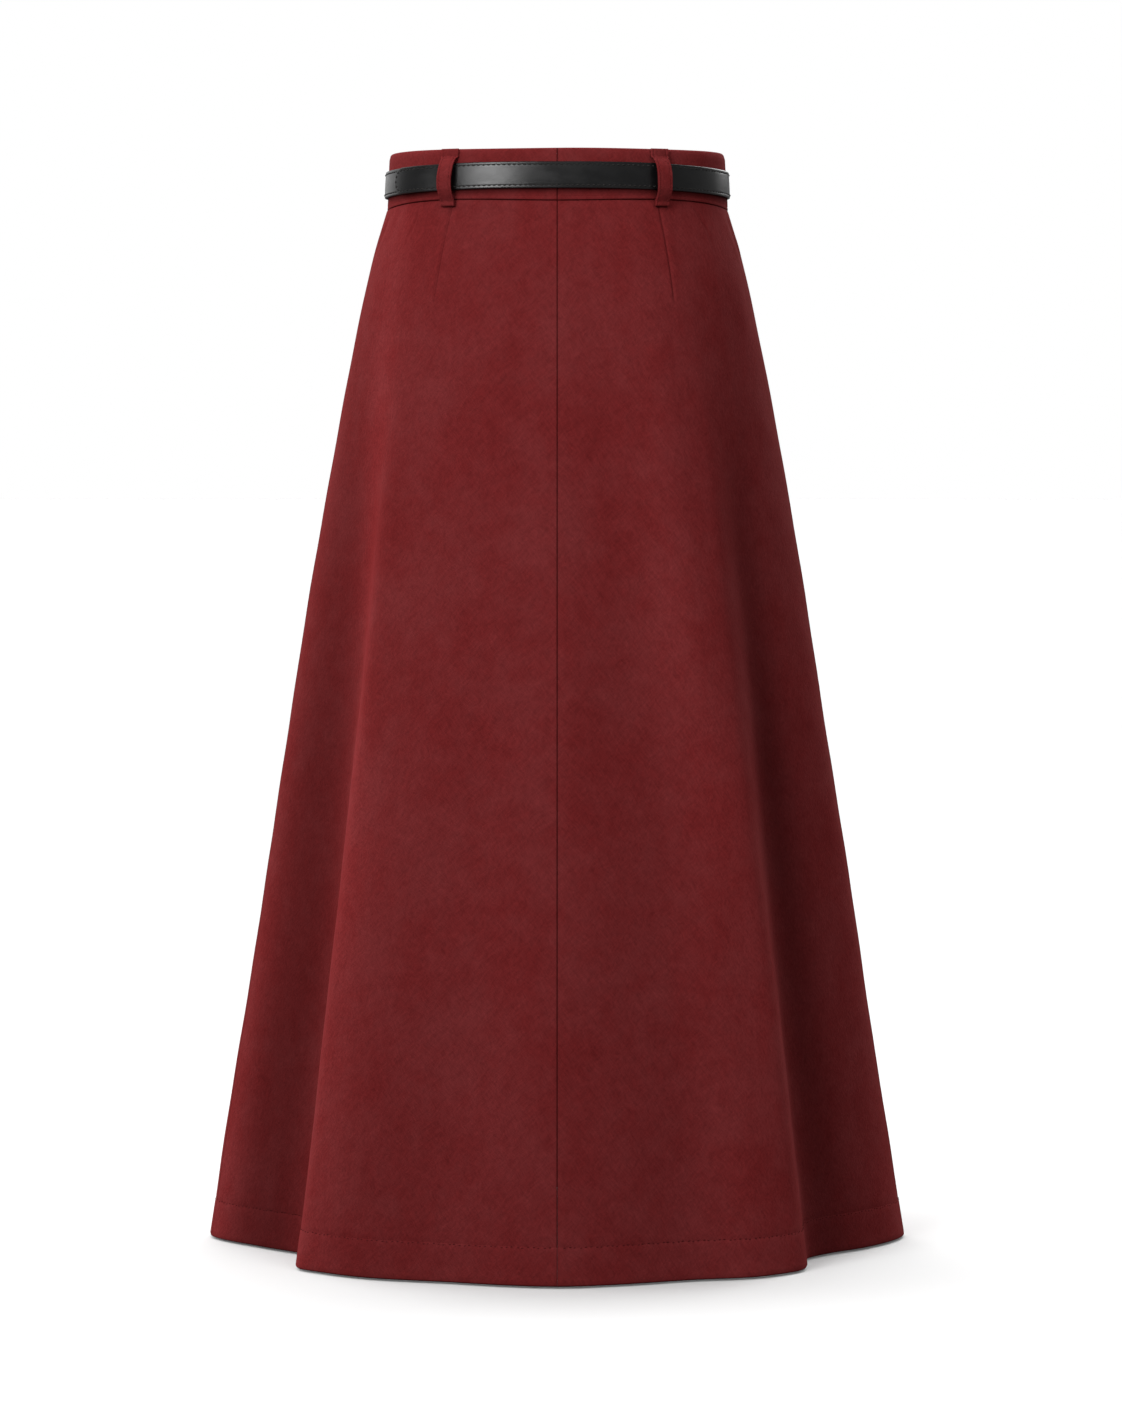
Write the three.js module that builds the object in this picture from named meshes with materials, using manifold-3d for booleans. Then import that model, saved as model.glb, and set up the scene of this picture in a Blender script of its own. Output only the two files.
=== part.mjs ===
// A belted A-line midi skirt in millimetres, +Z up, filled out as it is worn, with nobody in it.
//
// The origin is the centre of the waist, half-way up the waistband. The back faces -Y, the front
// faces +Y, and +X is the wearer's right. Two back panels meet at a centre-back seam, and meet one
// front panel at the side seams. The waistband is one strip that closes on the line of the
// centre-back seam. Four belt loops stand off the band, and a leather belt in two lengths runs
// through them. The back strap laps over the buckle strap near the wearer's left side seam, runs
// round the back and the right side, and is buckled at the centre front.
//
// A place on a ring of cloth is its turn, in degrees from the centre back towards the wearer's
// right, and its height z. Every piece is a loft of closed sections.

import * as THREE from "three";
import Module from "manifold-3d";

const wasm = await Module();
wasm.setup();

// ---- Driving dimensions -----------------------------------------------------------------------

const SEAM_GAP = 0.3; // between two pieces that are sewn or laid together
const CLOTH = 1.5;
const HEM_CLOTH = 2.8; // the hem is turned up inside
const HEM_DEPTH = 28;
const HEM_Z = -818;
const SIDE_SEAM = 87; // turn of the side seams

const BAND_TOP = 20.5;
const BAND_CLOTH = 2.6;
const BAND_ROUNDING = 0.9; // of the fold along its top
const WAIST_SEAM_Z = -19;
const WAIST_SEAM_DIP = 2.5; // how much lower the waist seam runs at the sides
const DIP_FADES_AT = -60;

const LOOP_WIDTH = 13.5;
const LOOP_TURNS = { back_left: -45.5, back_right: 43, front_left: -136, front_right: 136 };

const BELT_WIDTH = 20;
const BELT_LEATHER = 2.1;
const BELT_BEVEL = 0.5; // along its edges
const BELT_HEIGHT = 0.8; // z of its middle at the centre back and front
const BELT_DROOP = 3.4; // how much lower it lies at the sides
const LAP_TURN = -74.5; // where the back strap's round end lies
const LAP_LENGTH = 26;
const TAIL_LENGTH = 68; // from the buckle's centre to the tip
const TURNED_BACK_TO = 27; // end of the buckle strap's fold, from the buckle's centre

const BUCKLE_LENGTH = 27; // along the belt
const BUCKLE_HEIGHT = 29;
const BUCKLE_CORNER = 5;
const WIRE = 2.6;
const PRONG_WIDTH = 2.6;
const PRONG_THICKNESS = 2;
const KEEPER_AT = 33.5; // along the belt from the buckle's centre
const KEEPER_WIDTH = 8;
const KEEPER_LEATHER = 1.4;
const HOLE_AT = 4.3; // the belt hole in use, from the buckle's centre
const HOLE_SPACING = 20;
const HOLE_RADIUS = 1.6;

// The plain cone of the skirt: half width at the sides, half depth at the back and at the front,
// and how square the ring is (2 is an ellipse).
const BODY = [
  { z: HEM_Z, side: 270.6, back: 243.3, front: 236, square: 2 },
  { z: -300, side: 188.7, back: 154.5, front: 149.5, square: 2 },
  { z: -200, side: 171.3, back: 138.5, front: 133, square: 2.05 },
  { z: -120, side: 155.8, back: 125, front: 120.5, square: 2.12 },
  { z: -60, side: 142.3, back: 113, front: 110, square: 2.2 },
  { z: -19, side: 130.2, back: 101.5, front: 100.5, square: 2.25 },
];
const BAND = [
  { z: -21.5, side: 131.2, back: 102.8, front: 101.8, square: 2.25 },
  { z: BAND_TOP, side: 129.1, back: 101, front: 100, square: 2.25 },
];

// The flutes: how far the cloth stands off the plain cone at the hem, at each crest and valley and
// on the long sides of the deep ones, and the height where each begins.
const FLUTES = [
  { turn: -178, out: 3, starts: -110 },
  { turn: -157, out: -9, starts: -120 },
  { turn: -135, out: -1, starts: -95 },
  { turn: -119, out: -44, starts: -85 },
  { turn: -104, out: -27, starts: -85 },
  { turn: -89, out: 0, starts: -80 },
  { turn: -74, out: -31.5, starts: -80 },
  { turn: -62.5, out: -46, starts: -80 },
  { turn: -48, out: -3, starts: -90 },
  { turn: -38, out: -1.5, starts: -120 },
  { turn: -20, out: -7.5, starts: -130 },
  { turn: 0, out: 0, starts: -130 },
  { turn: 24, out: -11, starts: -110 },
  { turn: 37.5, out: -1, starts: -110 },
  { turn: 45, out: -4, starts: -90 },
  { turn: 59, out: -36.5, starts: -75 },
  { turn: 66, out: -34, starts: -75 },
  { turn: 74, out: -22, starts: -80 },
  { turn: 89, out: 0, starts: -80 },
  { turn: 105, out: -29, starts: -85 },
  { turn: 120, out: -41, starts: -90 },
  { turn: 134, out: -1, starts: -95 },
  { turn: 158, out: -10, starts: -125 },
];
const ROW_HEIGHTS = [-19, -32, -46, -66, -92, -125, -165, -215, -285, -375, -475, -580, -685];
const WIDEST_TURN = 5.5; // between two columns of a panel
const WIDEST_RISE = 8; // and how far a flute may rise between them

// A belt loop's inner and outer faces off the band, from its sewn top to its turned-under foot.
const LOOP_PROFILE = [
  { z: 20.4, inner: 0.3, outer: 2.3 },
  { z: 15.4, inner: 0.3, outer: 2.3 },
  { z: 13.4, inner: 1.2, outer: 3.2 },
  { z: 10.9, inner: 3.3, outer: 5.3 },
  { z: 6, inner: 5.9, outer: 7.9 },
  { z: -1.5, inner: 7.4, outer: 9.4 },
  { z: -9, inner: 6.8, outer: 8.8 },
  { z: -14, inner: 5.2, outer: 7.2 },
  { z: -18, inner: 2.6, outer: 5.4 },
  { z: -20.5, inner: 0.5, outer: 4.3 },
  { z: -24.4, inner: 0.3, outer: 3.9 },
];

// ---- Curves and rings -------------------------------------------------------------------------

const radians = THREE.MathUtils.degToRad;
const degrees = THREE.MathUtils.radToDeg;
const mix = THREE.MathUtils.lerp;
const clamp01 = (t) => THREE.MathUtils.clamp(t, 0, 1);
const ease = (t) => t * t * (3 - 2 * t);
const evenly = (from, to, steps) => Array.from({ length: steps + 1 }, (_, i) => mix(from, to, i / steps));

// A smooth curve through points in order of x, which never swings past a crest or a valley.
function curveThrough(xs, ys, x) {
  const last = xs.length - 2;
  const found = xs.findIndex((edge, i) => i > 0 && x < edge);
  const i = found < 0 ? last : found - 1;
  const rise = (k) => (ys[k + 1] - ys[k]) / (xs[k + 1] - xs[k]);
  const slope = (k) => {
    if (k === 0) return rise(0);
    if (k > last) return rise(last);
    const [before, after] = [rise(k - 1), rise(k)];
    return before * after > 0 ? (2 * before * after) / (before + after) : 0;
  };
  const span = xs[i + 1] - xs[i];
  const t = (x - xs[i]) / span;
  const bend = span * (slope(i) * t * (1 - t) ** 2 + slope(i + 1) * t * t * (t - 1));
  return mix(ys[i], ys[i + 1], ease(t)) + bend;
}

const atHeight = (table, key, z) => curveThrough(table.map((row) => row.z), table.map((row) => row[key]), z);

// How much of its depth at the hem a flute has at height z.
function grown(flute, z) {
  const t = clamp01((flute.starts - z) / (flute.starts - HEM_Z));
  const softStart = t / (t + 0.04);
  return softStart * 1.04 * t * (1.25 - 0.25 * t);
}

function fluteOut(turn, z) {
  const first = FLUTES[0].turn;
  const round = first + ((((turn - first) % 360) + 360) % 360);
  const rows = [-2, -1, ...FLUTES.keys(), FLUTES.length, FLUTES.length + 1].map((i) => {
    const flute = FLUTES[(i + FLUTES.length) % FLUTES.length];
    const turns = 360 * Math.floor(i / FLUTES.length);
    return { turn: flute.turn + turns, out: flute.out * grown(flute, z) };
  });
  return curveThrough(rows.map((row) => row.turn), rows.map((row) => row.out), round);
}

function ringRadius(table, turn, z) {
  const depth = atHeight(table, Math.cos(radians(turn)) > 0 ? "back" : "front", z);
  const square = atHeight(table, "square", z);
  const across = Math.abs(Math.sin(radians(turn))) / atHeight(table, "side", z);
  const along = Math.abs(Math.cos(radians(turn))) / depth;
  return (across ** square + along ** square) ** (-1 / square);
}

const atTurn = (turn, radius, z) =>
  new THREE.Vector3(radius * Math.sin(radians(turn)), -radius * Math.cos(radians(turn)), z);
const bodyPoint = (turn, z) => atTurn(turn, ringRadius(BODY, turn, z) + fluteOut(turn, z), z);
const bandPoint = (turn, z) => atTurn(turn, ringRadius(BAND, turn, z), z);

// A point at a distance off a surface, along its normal but at the same height.
function off(surface, turn, z, distance) {
  const [dTurn, dZ] = [0.05, 0.5];
  const round = surface(turn + dTurn, z).sub(surface(turn - dTurn, z));
  const up = surface(turn, z + dZ).sub(surface(turn, z - dZ));
  return surface(turn, z).addScaledVector(round.cross(up).normalize(), distance).setZ(z);
}

// The waist seam is level at the back and front, and dips at the sides.
const sideShare = (turn) => Math.sin(radians(turn)) ** 2;
const dip = (turn, z) =>
  WAIST_SEAM_DIP * sideShare(turn) * clamp01((z - DIP_FADES_AT) / (WAIST_SEAM_Z - DIP_FADES_AT));

// ---- Lofts ------------------------------------------------------------------------------------

// Joins closed sections of equally many points. Points k and last - k of a section face each other
// across its thickness, so each end is closed by the strips between those pairs.
function loft(sections, endless = false) {
  const count = sections[0].length;
  const faces = [];
  const quad = (a, b, c, d) => faces.push(a, b, c, a, c, d);
  sections.forEach((_, i) => {
    if (i === sections.length - 1 && !endless) return;
    const [here, next] = [i * count, ((i + 1) % sections.length) * count];
    for (let k = 0; k < count; k++) {
      const l = (k + 1) % count;
      quad(here + k, next + k, next + l, here + l);
    }
  });
  if (!endless) {
    const far = (sections.length - 1) * count;
    for (let k = 0; k < count / 2 - 1; k++) {
      const m = count - 1 - k;
      quad(k, k + 1, m - 1, m);
      quad(far + k, far + m, far + m - 1, far + k + 1);
    }
  }
  const geometry = new THREE.BufferGeometry().setFromPoints(sections.flat());
  geometry.setIndex(faces);
  return facingOut(geometry);
}

// Turns the faces round where a loft was made inside out.
function facingOut(geometry) {
  const position = geometry.getAttribute("position");
  const faces = geometry.index.array;
  const [a, b, c] = [0, 0, 0].map(() => new THREE.Vector3());
  let volume = 0;
  for (let i = 0; i < faces.length; i += 3) {
    a.fromBufferAttribute(position, faces[i]);
    b.fromBufferAttribute(position, faces[i + 1]);
    c.fromBufferAttribute(position, faces[i + 2]);
    volume += a.dot(b.cross(c));
  }
  if (volume < 0) {
    for (let i = 0; i < faces.length; i += 3) {
      [faces[i + 1], faces[i + 2]] = [faces[i + 2], faces[i + 1]];
    }
  }
  return geometry;
}

function solid(geometry) {
  const vertProperties = new Float32Array(geometry.getAttribute("position").array);
  const triVerts = new Uint32Array(geometry.index.array);
  return new wasm.Manifold(new wasm.Mesh({ numProp: 3, vertProperties, triVerts }));
}

function cut(geometry, tools) {
  const left = tools.reduce((whole, tool) => whole.subtract(solid(tool)), solid(geometry)).getMesh();
  const result = new THREE.BufferGeometry();
  result.setAttribute("position", new THREE.BufferAttribute(left.vertProperties, 3));
  result.setIndex(new THREE.BufferAttribute(left.triVerts, 1));
  return result;
}

// ---- Panels, waistband and belt loops -----------------------------------------------------------

// The turns of a panel's columns: its edges, every row of the flutes, and even steps between.
function panelTurns(from, to) {
  const inside = FLUTES.flatMap((flute) => [flute.turn, flute.turn + 360]).filter(
    (turn) => turn > from + 1 && turn < to - 1,
  );
  const stops = [from, ...inside.sort((a, b) => a - b), to];
  return stops.flatMap((stop, i) => {
    if (i === 0) return [stop];
    const before = stops[i - 1];
    const rise = Math.abs(fluteOut(stop, HEM_Z) - fluteOut(before, HEM_Z));
    const steps = Math.ceil(Math.max((stop - before) / WIDEST_TURN, rise / WIDEST_RISE));
    return evenly(before, stop, steps).slice(1);
  });
}

// One panel of cloth from the waist seam to the hem, double where the hem is turned up.
function panel(from, to) {
  const hemTop = HEM_Z + HEM_DEPTH;
  const rows = [
    ...ROW_HEIGHTS.map((z) => ({ z, cloth: CLOTH })),
    { z: hemTop + 0.4, cloth: CLOTH },
    { z: hemTop - 0.4, cloth: HEM_CLOTH },
    { z: HEM_Z, cloth: HEM_CLOTH },
  ];
  const turns = panelTurns(from, to);
  const sections = turns.map((turn, i) => {
    const inset = ((i === 0) - (i === turns.length - 1)) * (SEAM_GAP / 2);
    const face = (depth) =>
      rows.map((row, k) => {
        const z = row.z - dip(turn, row.z) - (k === 0 ? SEAM_GAP / 2 : 0);
        const edge = turn + degrees(inset / ringRadius(BODY, turn, z));
        return off(bodyPoint, edge, z, -depth(row));
      });
    return [...face(() => 0), ...face((row) => row.cloth).reverse()];
  });
  return loft(sections);
}

// One strip, folded along its top, that closes at the centre back.
function waistband() {
  const bevel = BAND_ROUNDING * (1 - Math.SQRT1_2);
  const fold = [
    [BAND_TOP - BAND_ROUNDING, 0],
    [BAND_TOP - bevel, bevel],
    [BAND_TOP, BAND_ROUNDING],
  ];
  const section = (turn) => {
    const foot = WAIST_SEAM_Z - dip(turn, WAIST_SEAM_Z) + SEAM_GAP / 2;
    const outside = [[foot, 0], ...fold];
    const inside = outside.map(([z, depth]) => [z, BAND_CLOTH - depth]).reverse();
    return [...outside, ...inside].map(([z, depth]) => off(bandPoint, turn, z, -depth));
  };
  const halfGap = degrees(SEAM_GAP / 2 / BAND[0].back);
  return loft(evenly(halfGap, 360 - halfGap, 72).map(section));
}

function beltLoop(turn) {
  const halfTurn = degrees(LOOP_WIDTH / 2 / ringRadius(BAND, turn, 0));
  const columns = evenly(turn - halfTurn, turn + halfTurn, 3);
  const face = (row, side) => columns.map((column) => off(bandPoint, column, row.z, row[side]));
  return loft(LOOP_PROFILE.map((row) => [...face(row, "outer"), ...face(row, "inner").reverse()]));
}

// ---- Belt -------------------------------------------------------------------------------------
//
// A place on the belt is { along, out, up }: the length round the waist from the centre front
// towards the wearer's left, the distance off the band, and the height from the belt's middle.

const RING = evenly(-180, 180, 360).map((turn) => ({ turn, point: bandPoint(turn, 0), along: 0 }));
RING.forEach((place, i) => {
  if (i > 0) place.along = RING[i - 1].along + place.point.distanceTo(RING[i - 1].point);
});
const ROUND_WAIST = RING[RING.length - 1].along;

const alongAt = (turn) => RING.find((place) => place.turn >= turn).along;

function turnAt(along) {
  const wrapped = THREE.MathUtils.euclideanModulo(along, ROUND_WAIST);
  const i = Math.max(1, RING.findIndex((place) => place.along >= wrapped));
  const [a, b] = [RING[i - 1], RING[i]];
  return mix(a.turn, b.turn, (wrapped - a.along) / (b.along - a.along));
}

function onBelt(along, out, up) {
  const turn = turnAt(along);
  return off(bandPoint, turn, BELT_HEIGHT - BELT_DROOP * sideShare(turn) ** 2 + up, out);
}

// Off the band: the middle of a strap that lies on it, and of one that lies on another strap.
const LAYER = BELT_LEATHER + SEAM_GAP;
const LOW = SEAM_GAP + BELT_LEATHER / 2;
const HIGH = LOW + LAYER;
const HALF_BUCKLE = (BUCKLE_LENGTH - WIRE) / 2; // from the buckle's centre to a bar's
const BAR_OUT = SEAM_GAP + LAYER + WIRE / 2;
const FOLD_RADIUS = WIRE / 2 + SEAM_GAP + BELT_LEATHER / 2; // of the strap round the heel bar
const OVER_BAR = BAR_OUT + FOLD_RADIUS;

// A path through flat stretches, given as corners that smooth slopes join, with even steps.
function slopes(corners, step) {
  return corners.slice(1).flatMap((corner, i) => {
    const from = corners[i];
    const steps = Math.ceil(Math.abs(corner.along - from.along) / step);
    return evenly(0, 1, steps)
      .slice(i === 0 ? 0 : 1)
      .map((t) => ({ along: mix(from.along, corner.along, t), out: mix(from.out, corner.out, ease(t)) }));
  });
}

// The normal of a path at row i, in the plane of along and out.
function pathNormal(path, i) {
  const [before, after] = [path[Math.max(0, i - 1)], path[Math.min(path.length - 1, i + 1)]];
  const length = Math.hypot(after.along - before.along, after.out - before.out);
  return { along: (before.out - after.out) / length, out: (after.along - before.along) / length };
}

// Half a strap's width at a distance from its end, where the end is round.
const ROUND_STEPS = [0, 0.4, 1.4, 3, 5.5, 9];
const roundHalf = (fromEnd) =>
  (BELT_WIDTH / 2) * Math.max(0.1, Math.sqrt(1 - (1 - clamp01((2 * fromEnd) / BELT_WIDTH)) ** 2));

// A strip of leather swept along a path through the middle of its thickness.
function strap(path, leather = BELT_LEATHER) {
  const sections = path.map((row, i) => {
    const normal = pathNormal(path, i);
    const half = row.half ?? BELT_WIDTH / 2;
    const bevel = Math.min(BELT_BEVEL, half / 3);
    const at = (depth, up) => onBelt(row.along + normal.along * depth, row.out + normal.out * depth, up);
    const [face, edge] = [leather / 2, leather / 2 - bevel];
    return [
      at(edge, half),
      at(face, half - bevel),
      at(face, bevel - half),
      at(edge, -half),
      at(-edge, -half),
      at(-face, bevel - half),
      at(-face, half - bevel),
      at(-edge, half),
    ];
  });
  return loft(sections);
}

// A cutter through the belt, round or stretched along it.
function punch(along, radius, length, lowest, highest) {
  const ring = (out) =>
    evenly(0, 11, 11).map((k) => {
      const angle = ((k + 0.5) / 12) * 2 * Math.PI;
      const stretch = Math.sign(Math.cos(angle)) * (length / 2 - radius);
      return onBelt(along + radius * Math.cos(angle) + stretch, out, radius * Math.sin(angle));
    });
  return loft([ring(lowest), ring(highest)]);
}

// From a fold round the heel bar, over its own turned-back end and through the keeper, then on the
// band round the wearer's left side to an end under the lap.
const BUCKLE_STRAP_TOP = [
  { along: HALF_BUCKLE, out: OVER_BAR },
  { along: HALF_BUCKLE + 14, out: HIGH },
  { along: 44, out: HIGH },
  { along: 58, out: LOW },
];

function buckleStrap() {
  const turnedBack = slopes([{ along: TURNED_BACK_TO, out: LOW }, { along: HALF_BUCKLE, out: LOW }], 5);
  const fold = evenly(-90, -270, 8).slice(1, -1).map((angle) => ({
    along: HALF_BUCKLE + FOLD_RADIUS * Math.cos(radians(angle)),
    out: BAR_OUT + FOLD_RADIUS * Math.sin(radians(angle)),
  }));
  const end = { along: alongAt(LAP_TURN) + LAP_LENGTH - 4, out: LOW };
  const over = slopes(BUCKLE_STRAP_TOP, 3.5);
  const round = slopes([BUCKLE_STRAP_TOP[BUCKLE_STRAP_TOP.length - 1], end], 12).slice(1);
  const slot = punch(HALF_BUCKLE, PRONG_WIDTH / 2 + 0.4, 15, -1, OVER_BAR + 2);
  return cut(strap([...turnedBack, ...fold, ...over, ...round]), [slot]);
}

// From its round end on the lap, round the back and the right side, under the buckle's tip bar, up
// through the frame and over the heel bar, and on top of the buckle strap to its round tip.
function backStrap() {
  const start = alongAt(LAP_TURN) - ROUND_WAIST;
  const lapFoot = start + LAP_LENGTH + 12;
  const lap = slopes([{ along: start + 10, out: HIGH }, { along: start + LAP_LENGTH, out: HIGH }], 8);
  const down = slopes([{ along: start + LAP_LENGTH, out: HIGH }, { along: lapFoot, out: LOW }], 3);
  const climb = { along: -7, out: LOW };
  const round = slopes([{ along: lapFoot, out: LOW }, climb], 12);
  const up = slopes([climb, { along: HALF_BUCKLE - 1.7, out: OVER_BAR + LAYER }], 1.8);
  const under = slopes(BUCKLE_STRAP_TOP, 3.5);
  const over = under
    .map((row, i) => {
      const normal = pathNormal(under, i);
      return { along: row.along + normal.along * LAYER, out: row.out + normal.out * LAYER };
    })
    .filter((row) => row.along < TAIL_LENGTH - 10);
  const tailOut = over[over.length - 1].out;
  const endRows = (end, towards, out) =>
    ROUND_STEPS.map((step) => ({ along: end + towards * step, out, half: roundHalf(step) }));
  const path = [
    ...endRows(start, 1, HIGH),
    ...lap,
    ...down.slice(1),
    ...round.slice(1),
    ...up.slice(1),
    ...over,
    ...endRows(TAIL_LENGTH, -1, tailOut).reverse(),
  ];
  const inUse = punch(HOLE_AT, PRONG_WIDTH / 2 + 0.4, 10.6, -1, 2 * OVER_BAR);
  const holes = [-2, -1, 1, 2].map((k) =>
    punch(HOLE_AT + k * HOLE_SPACING, HOLE_RADIUS, 2 * HOLE_RADIUS, -1, 2 * OVER_BAR),
  );
  return cut(strap(path), [inUse, ...holes]);
}

// A rectangle with round corners, as points with their outward normals.
function roundedRectangle(halfX, halfY, radius, perCorner) {
  const corners = [[1, 1], [-1, 1], [-1, -1], [1, -1]];
  return corners.flatMap(([sideX, sideY], corner) =>
    evenly(corner * 90, (corner + 1) * 90, perCorner).map((angle) => {
      const [nx, ny] = [Math.cos(radians(angle)), Math.sin(radians(angle))];
      return { x: sideX * (halfX - radius) + radius * nx, y: sideY * (halfY - radius) + radius * ny, nx, ny };
    }),
  );
}

function buckleFrame() {
  const path = roundedRectangle(HALF_BUCKLE, (BUCKLE_HEIGHT - WIRE) / 2, BUCKLE_CORNER, 4);
  const angles = evenly(0, 315, 7).map(radians);
  const section = ({ x, y, nx, ny }) =>
    angles.map((angle) => {
      const [aside, outwards] = [(WIRE / 2) * Math.cos(angle), (WIRE / 2) * Math.sin(angle)];
      return onBelt(x + nx * aside, BAR_OUT + outwards, y + ny * aside);
    });
  return loft(path.map(section), true);
}

// A bent wire: nearly a full turn round the heel bar, then straight across the tip bar.
function prong() {
  const radius = WIRE / 2 + SEAM_GAP + PRONG_THICKNESS / 2;
  const hinge = evenly(200, 450, 12).map((angle) => ({
    along: HALF_BUCKLE + radius * Math.cos(radians(angle)),
    out: BAR_OUT + radius * Math.sin(radians(angle)),
    half: PRONG_WIDTH / 2,
  }));
  const tip = -HALF_BUCKLE - WIRE / 2 - 1.4;
  const shank = [[3, 1], [tip + 3, 1], [tip + 0.8, 0.8], [tip, 0.35]].map(([along, share]) => ({
    along,
    out: BAR_OUT + radius,
    half: (share * PRONG_WIDTH) / 2,
  }));
  return strap([...hinge, ...shank], PRONG_THICKNESS);
}

// A leather ring round both straps.
function keeper() {
  const around = KEEPER_LEATHER / 2 + SEAM_GAP;
  const halfHeight = BELT_WIDTH / 2 + around;
  const halfDepth = (LAYER + BELT_LEATHER) / 2 + around;
  const middleOut = HIGH + LAYER / 2;
  const section = ({ x, y, nx, ny }) => {
    const at = (depth, aside) => onBelt(KEEPER_AT + aside, middleOut + y + ny * depth, x + nx * depth);
    const [half, wide] = [KEEPER_LEATHER / 2, KEEPER_WIDTH / 2];
    return [at(half, -wide), at(half, wide), at(-half, wide), at(-half, -wide)];
  };
  return loft(roundedRectangle(halfHeight, halfDepth, 1, 3).map(section), true);
}

// ---- The skirt --------------------------------------------------------------------------------

const cloth = { color: 0x6e2628, roughness: 0.85, metalness: 0 };
const leather = { color: 0x161616, roughness: 0.38, metalness: 0 };
const metal = { color: 0xb9b6ae, roughness: 0.25, metalness: 1 };

const skirt = new THREE.Group();
const belt = new THREE.Group();
skirt.add(belt);

function add(group, name, geometry, look) {
  geometry.computeVertexNormals();
  const mesh = new THREE.Mesh(geometry, new THREE.MeshStandardMaterial(look));
  mesh.name = name;
  group.add(mesh);
}

add(skirt, "back_left", panel(-SIDE_SEAM, 0), cloth);
add(skirt, "back_right", panel(0, SIDE_SEAM), cloth);
add(skirt, "front", panel(SIDE_SEAM, 360 - SIDE_SEAM), cloth);
add(skirt, "waistband", waistband(), cloth);
for (const [place, turn] of Object.entries(LOOP_TURNS)) {
  add(skirt, `belt_loop_${place}`, beltLoop(turn), cloth);
}
add(belt, "belt_back_strap", backStrap(), leather);
add(belt, "belt_buckle_strap", buckleStrap(), leather);
add(belt, "belt_keeper", keeper(), leather);
add(belt, "buckle_frame", buckleFrame(), metal);
add(belt, "buckle_prong", prong(), metal);

export default skirt;
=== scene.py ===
"""A belted A-line midi skirt in soft brushed cloth, filled out as it is worn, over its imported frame.

Lengths are worked out in millimetres and become metres where a mesh is made. The origin is the
centre of the waist, half-way up the waistband; the back faces -Y, the front +Y, +X is the
wearer's right. A place on a ring of cloth is its turn, in degrees from the centre back towards
the wearer's right, and its height z.
"""

import math

import bpy
import numpy as np
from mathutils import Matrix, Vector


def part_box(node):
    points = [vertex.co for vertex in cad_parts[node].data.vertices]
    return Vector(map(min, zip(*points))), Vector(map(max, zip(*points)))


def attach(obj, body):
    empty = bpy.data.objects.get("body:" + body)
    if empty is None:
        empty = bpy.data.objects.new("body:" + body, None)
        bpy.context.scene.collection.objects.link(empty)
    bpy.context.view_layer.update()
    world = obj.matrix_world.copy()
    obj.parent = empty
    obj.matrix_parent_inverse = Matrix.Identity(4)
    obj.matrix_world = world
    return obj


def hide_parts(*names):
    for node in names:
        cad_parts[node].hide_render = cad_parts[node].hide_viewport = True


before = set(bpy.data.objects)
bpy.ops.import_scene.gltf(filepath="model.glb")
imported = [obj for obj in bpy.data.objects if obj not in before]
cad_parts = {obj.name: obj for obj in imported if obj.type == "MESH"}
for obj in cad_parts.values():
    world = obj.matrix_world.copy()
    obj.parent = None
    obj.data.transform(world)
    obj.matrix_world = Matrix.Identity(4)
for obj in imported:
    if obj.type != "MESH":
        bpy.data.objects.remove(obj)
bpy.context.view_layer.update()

MM = 0.001


def new_object(name, data):
    made = bpy.data.objects.new(name, data)
    bpy.context.scene.collection.objects.link(made)
    return made


# ---- Camera ----

CAMERA_PLACE = (0.0028, -3.85, -0.18981)  # in metres
CAMERA_TIPPED = 3.15056  # degrees below the level
CAMERA_LENS = 127.53


def make_camera():
    """Level with the hips, straight behind the wearer, tipped down by a few degrees."""
    data = bpy.data.cameras.new("camera")
    data.lens, data.sensor_width, data.clip_end = CAMERA_LENS, 36.0, 100.0
    camera = new_object("camera", data)
    camera.location = CAMERA_PLACE
    camera.rotation_euler = (math.radians(90 - CAMERA_TIPPED), 0, 0)
    bpy.context.scene.camera = camera


make_camera()

# ---- The skirt's own measures, in millimetres ----

SEAM_GAP = 0.3  # between two pieces that are laid together
SEWN_GAP = 0.04  # between two that are sewn, down in the seam
CLOTH = 1.5
HEM_CLOTH = 2.8  # the hem is turned up inside
HEM_DEPTH = 28.0
HEM_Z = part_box("front")[0][2] / MM
SIDE_SEAM = 87.0
ALLOWANCE = 14.0  # of the seams, pressed open inside

BAND_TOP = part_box("waistband")[1][2] / MM
BAND_CLOTH = 2.6
BAND_LINE = 2.8  # height above the waist seam of the pressed line along the band's foot
BAND_LEAN = 1.3  # inwards, of its top
WAIST_SEAM_Z = -19.0
WAIST_SEAM_DIP, WAIST_SEAM_RISE = 4.2, 1.2  # at the sides, and on the way to them
DIP_FADES_AT = -60.0

# The plain cone: z, half width at the sides, half depth at the back and front, squareness.
BODY = np.array([
    (HEM_Z, 270.6, 243.3, 236, 2),
    (-300, 188.7, 154.5, 149.5, 2),
    (-200, 171.3, 138.5, 133, 2.05),
    (-120, 155.8, 125, 120.5, 2.12),
    (-60, 142.3, 113, 110, 2.2),
    (-19, 130.2, 101.5, 100.5, 2.25),
])
BAND = np.array([
    (-21.5, 131.2, 102.8, 101.8, 2.25),
    (20.5, 129.1, 101, 100, 2.25),
])

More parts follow.
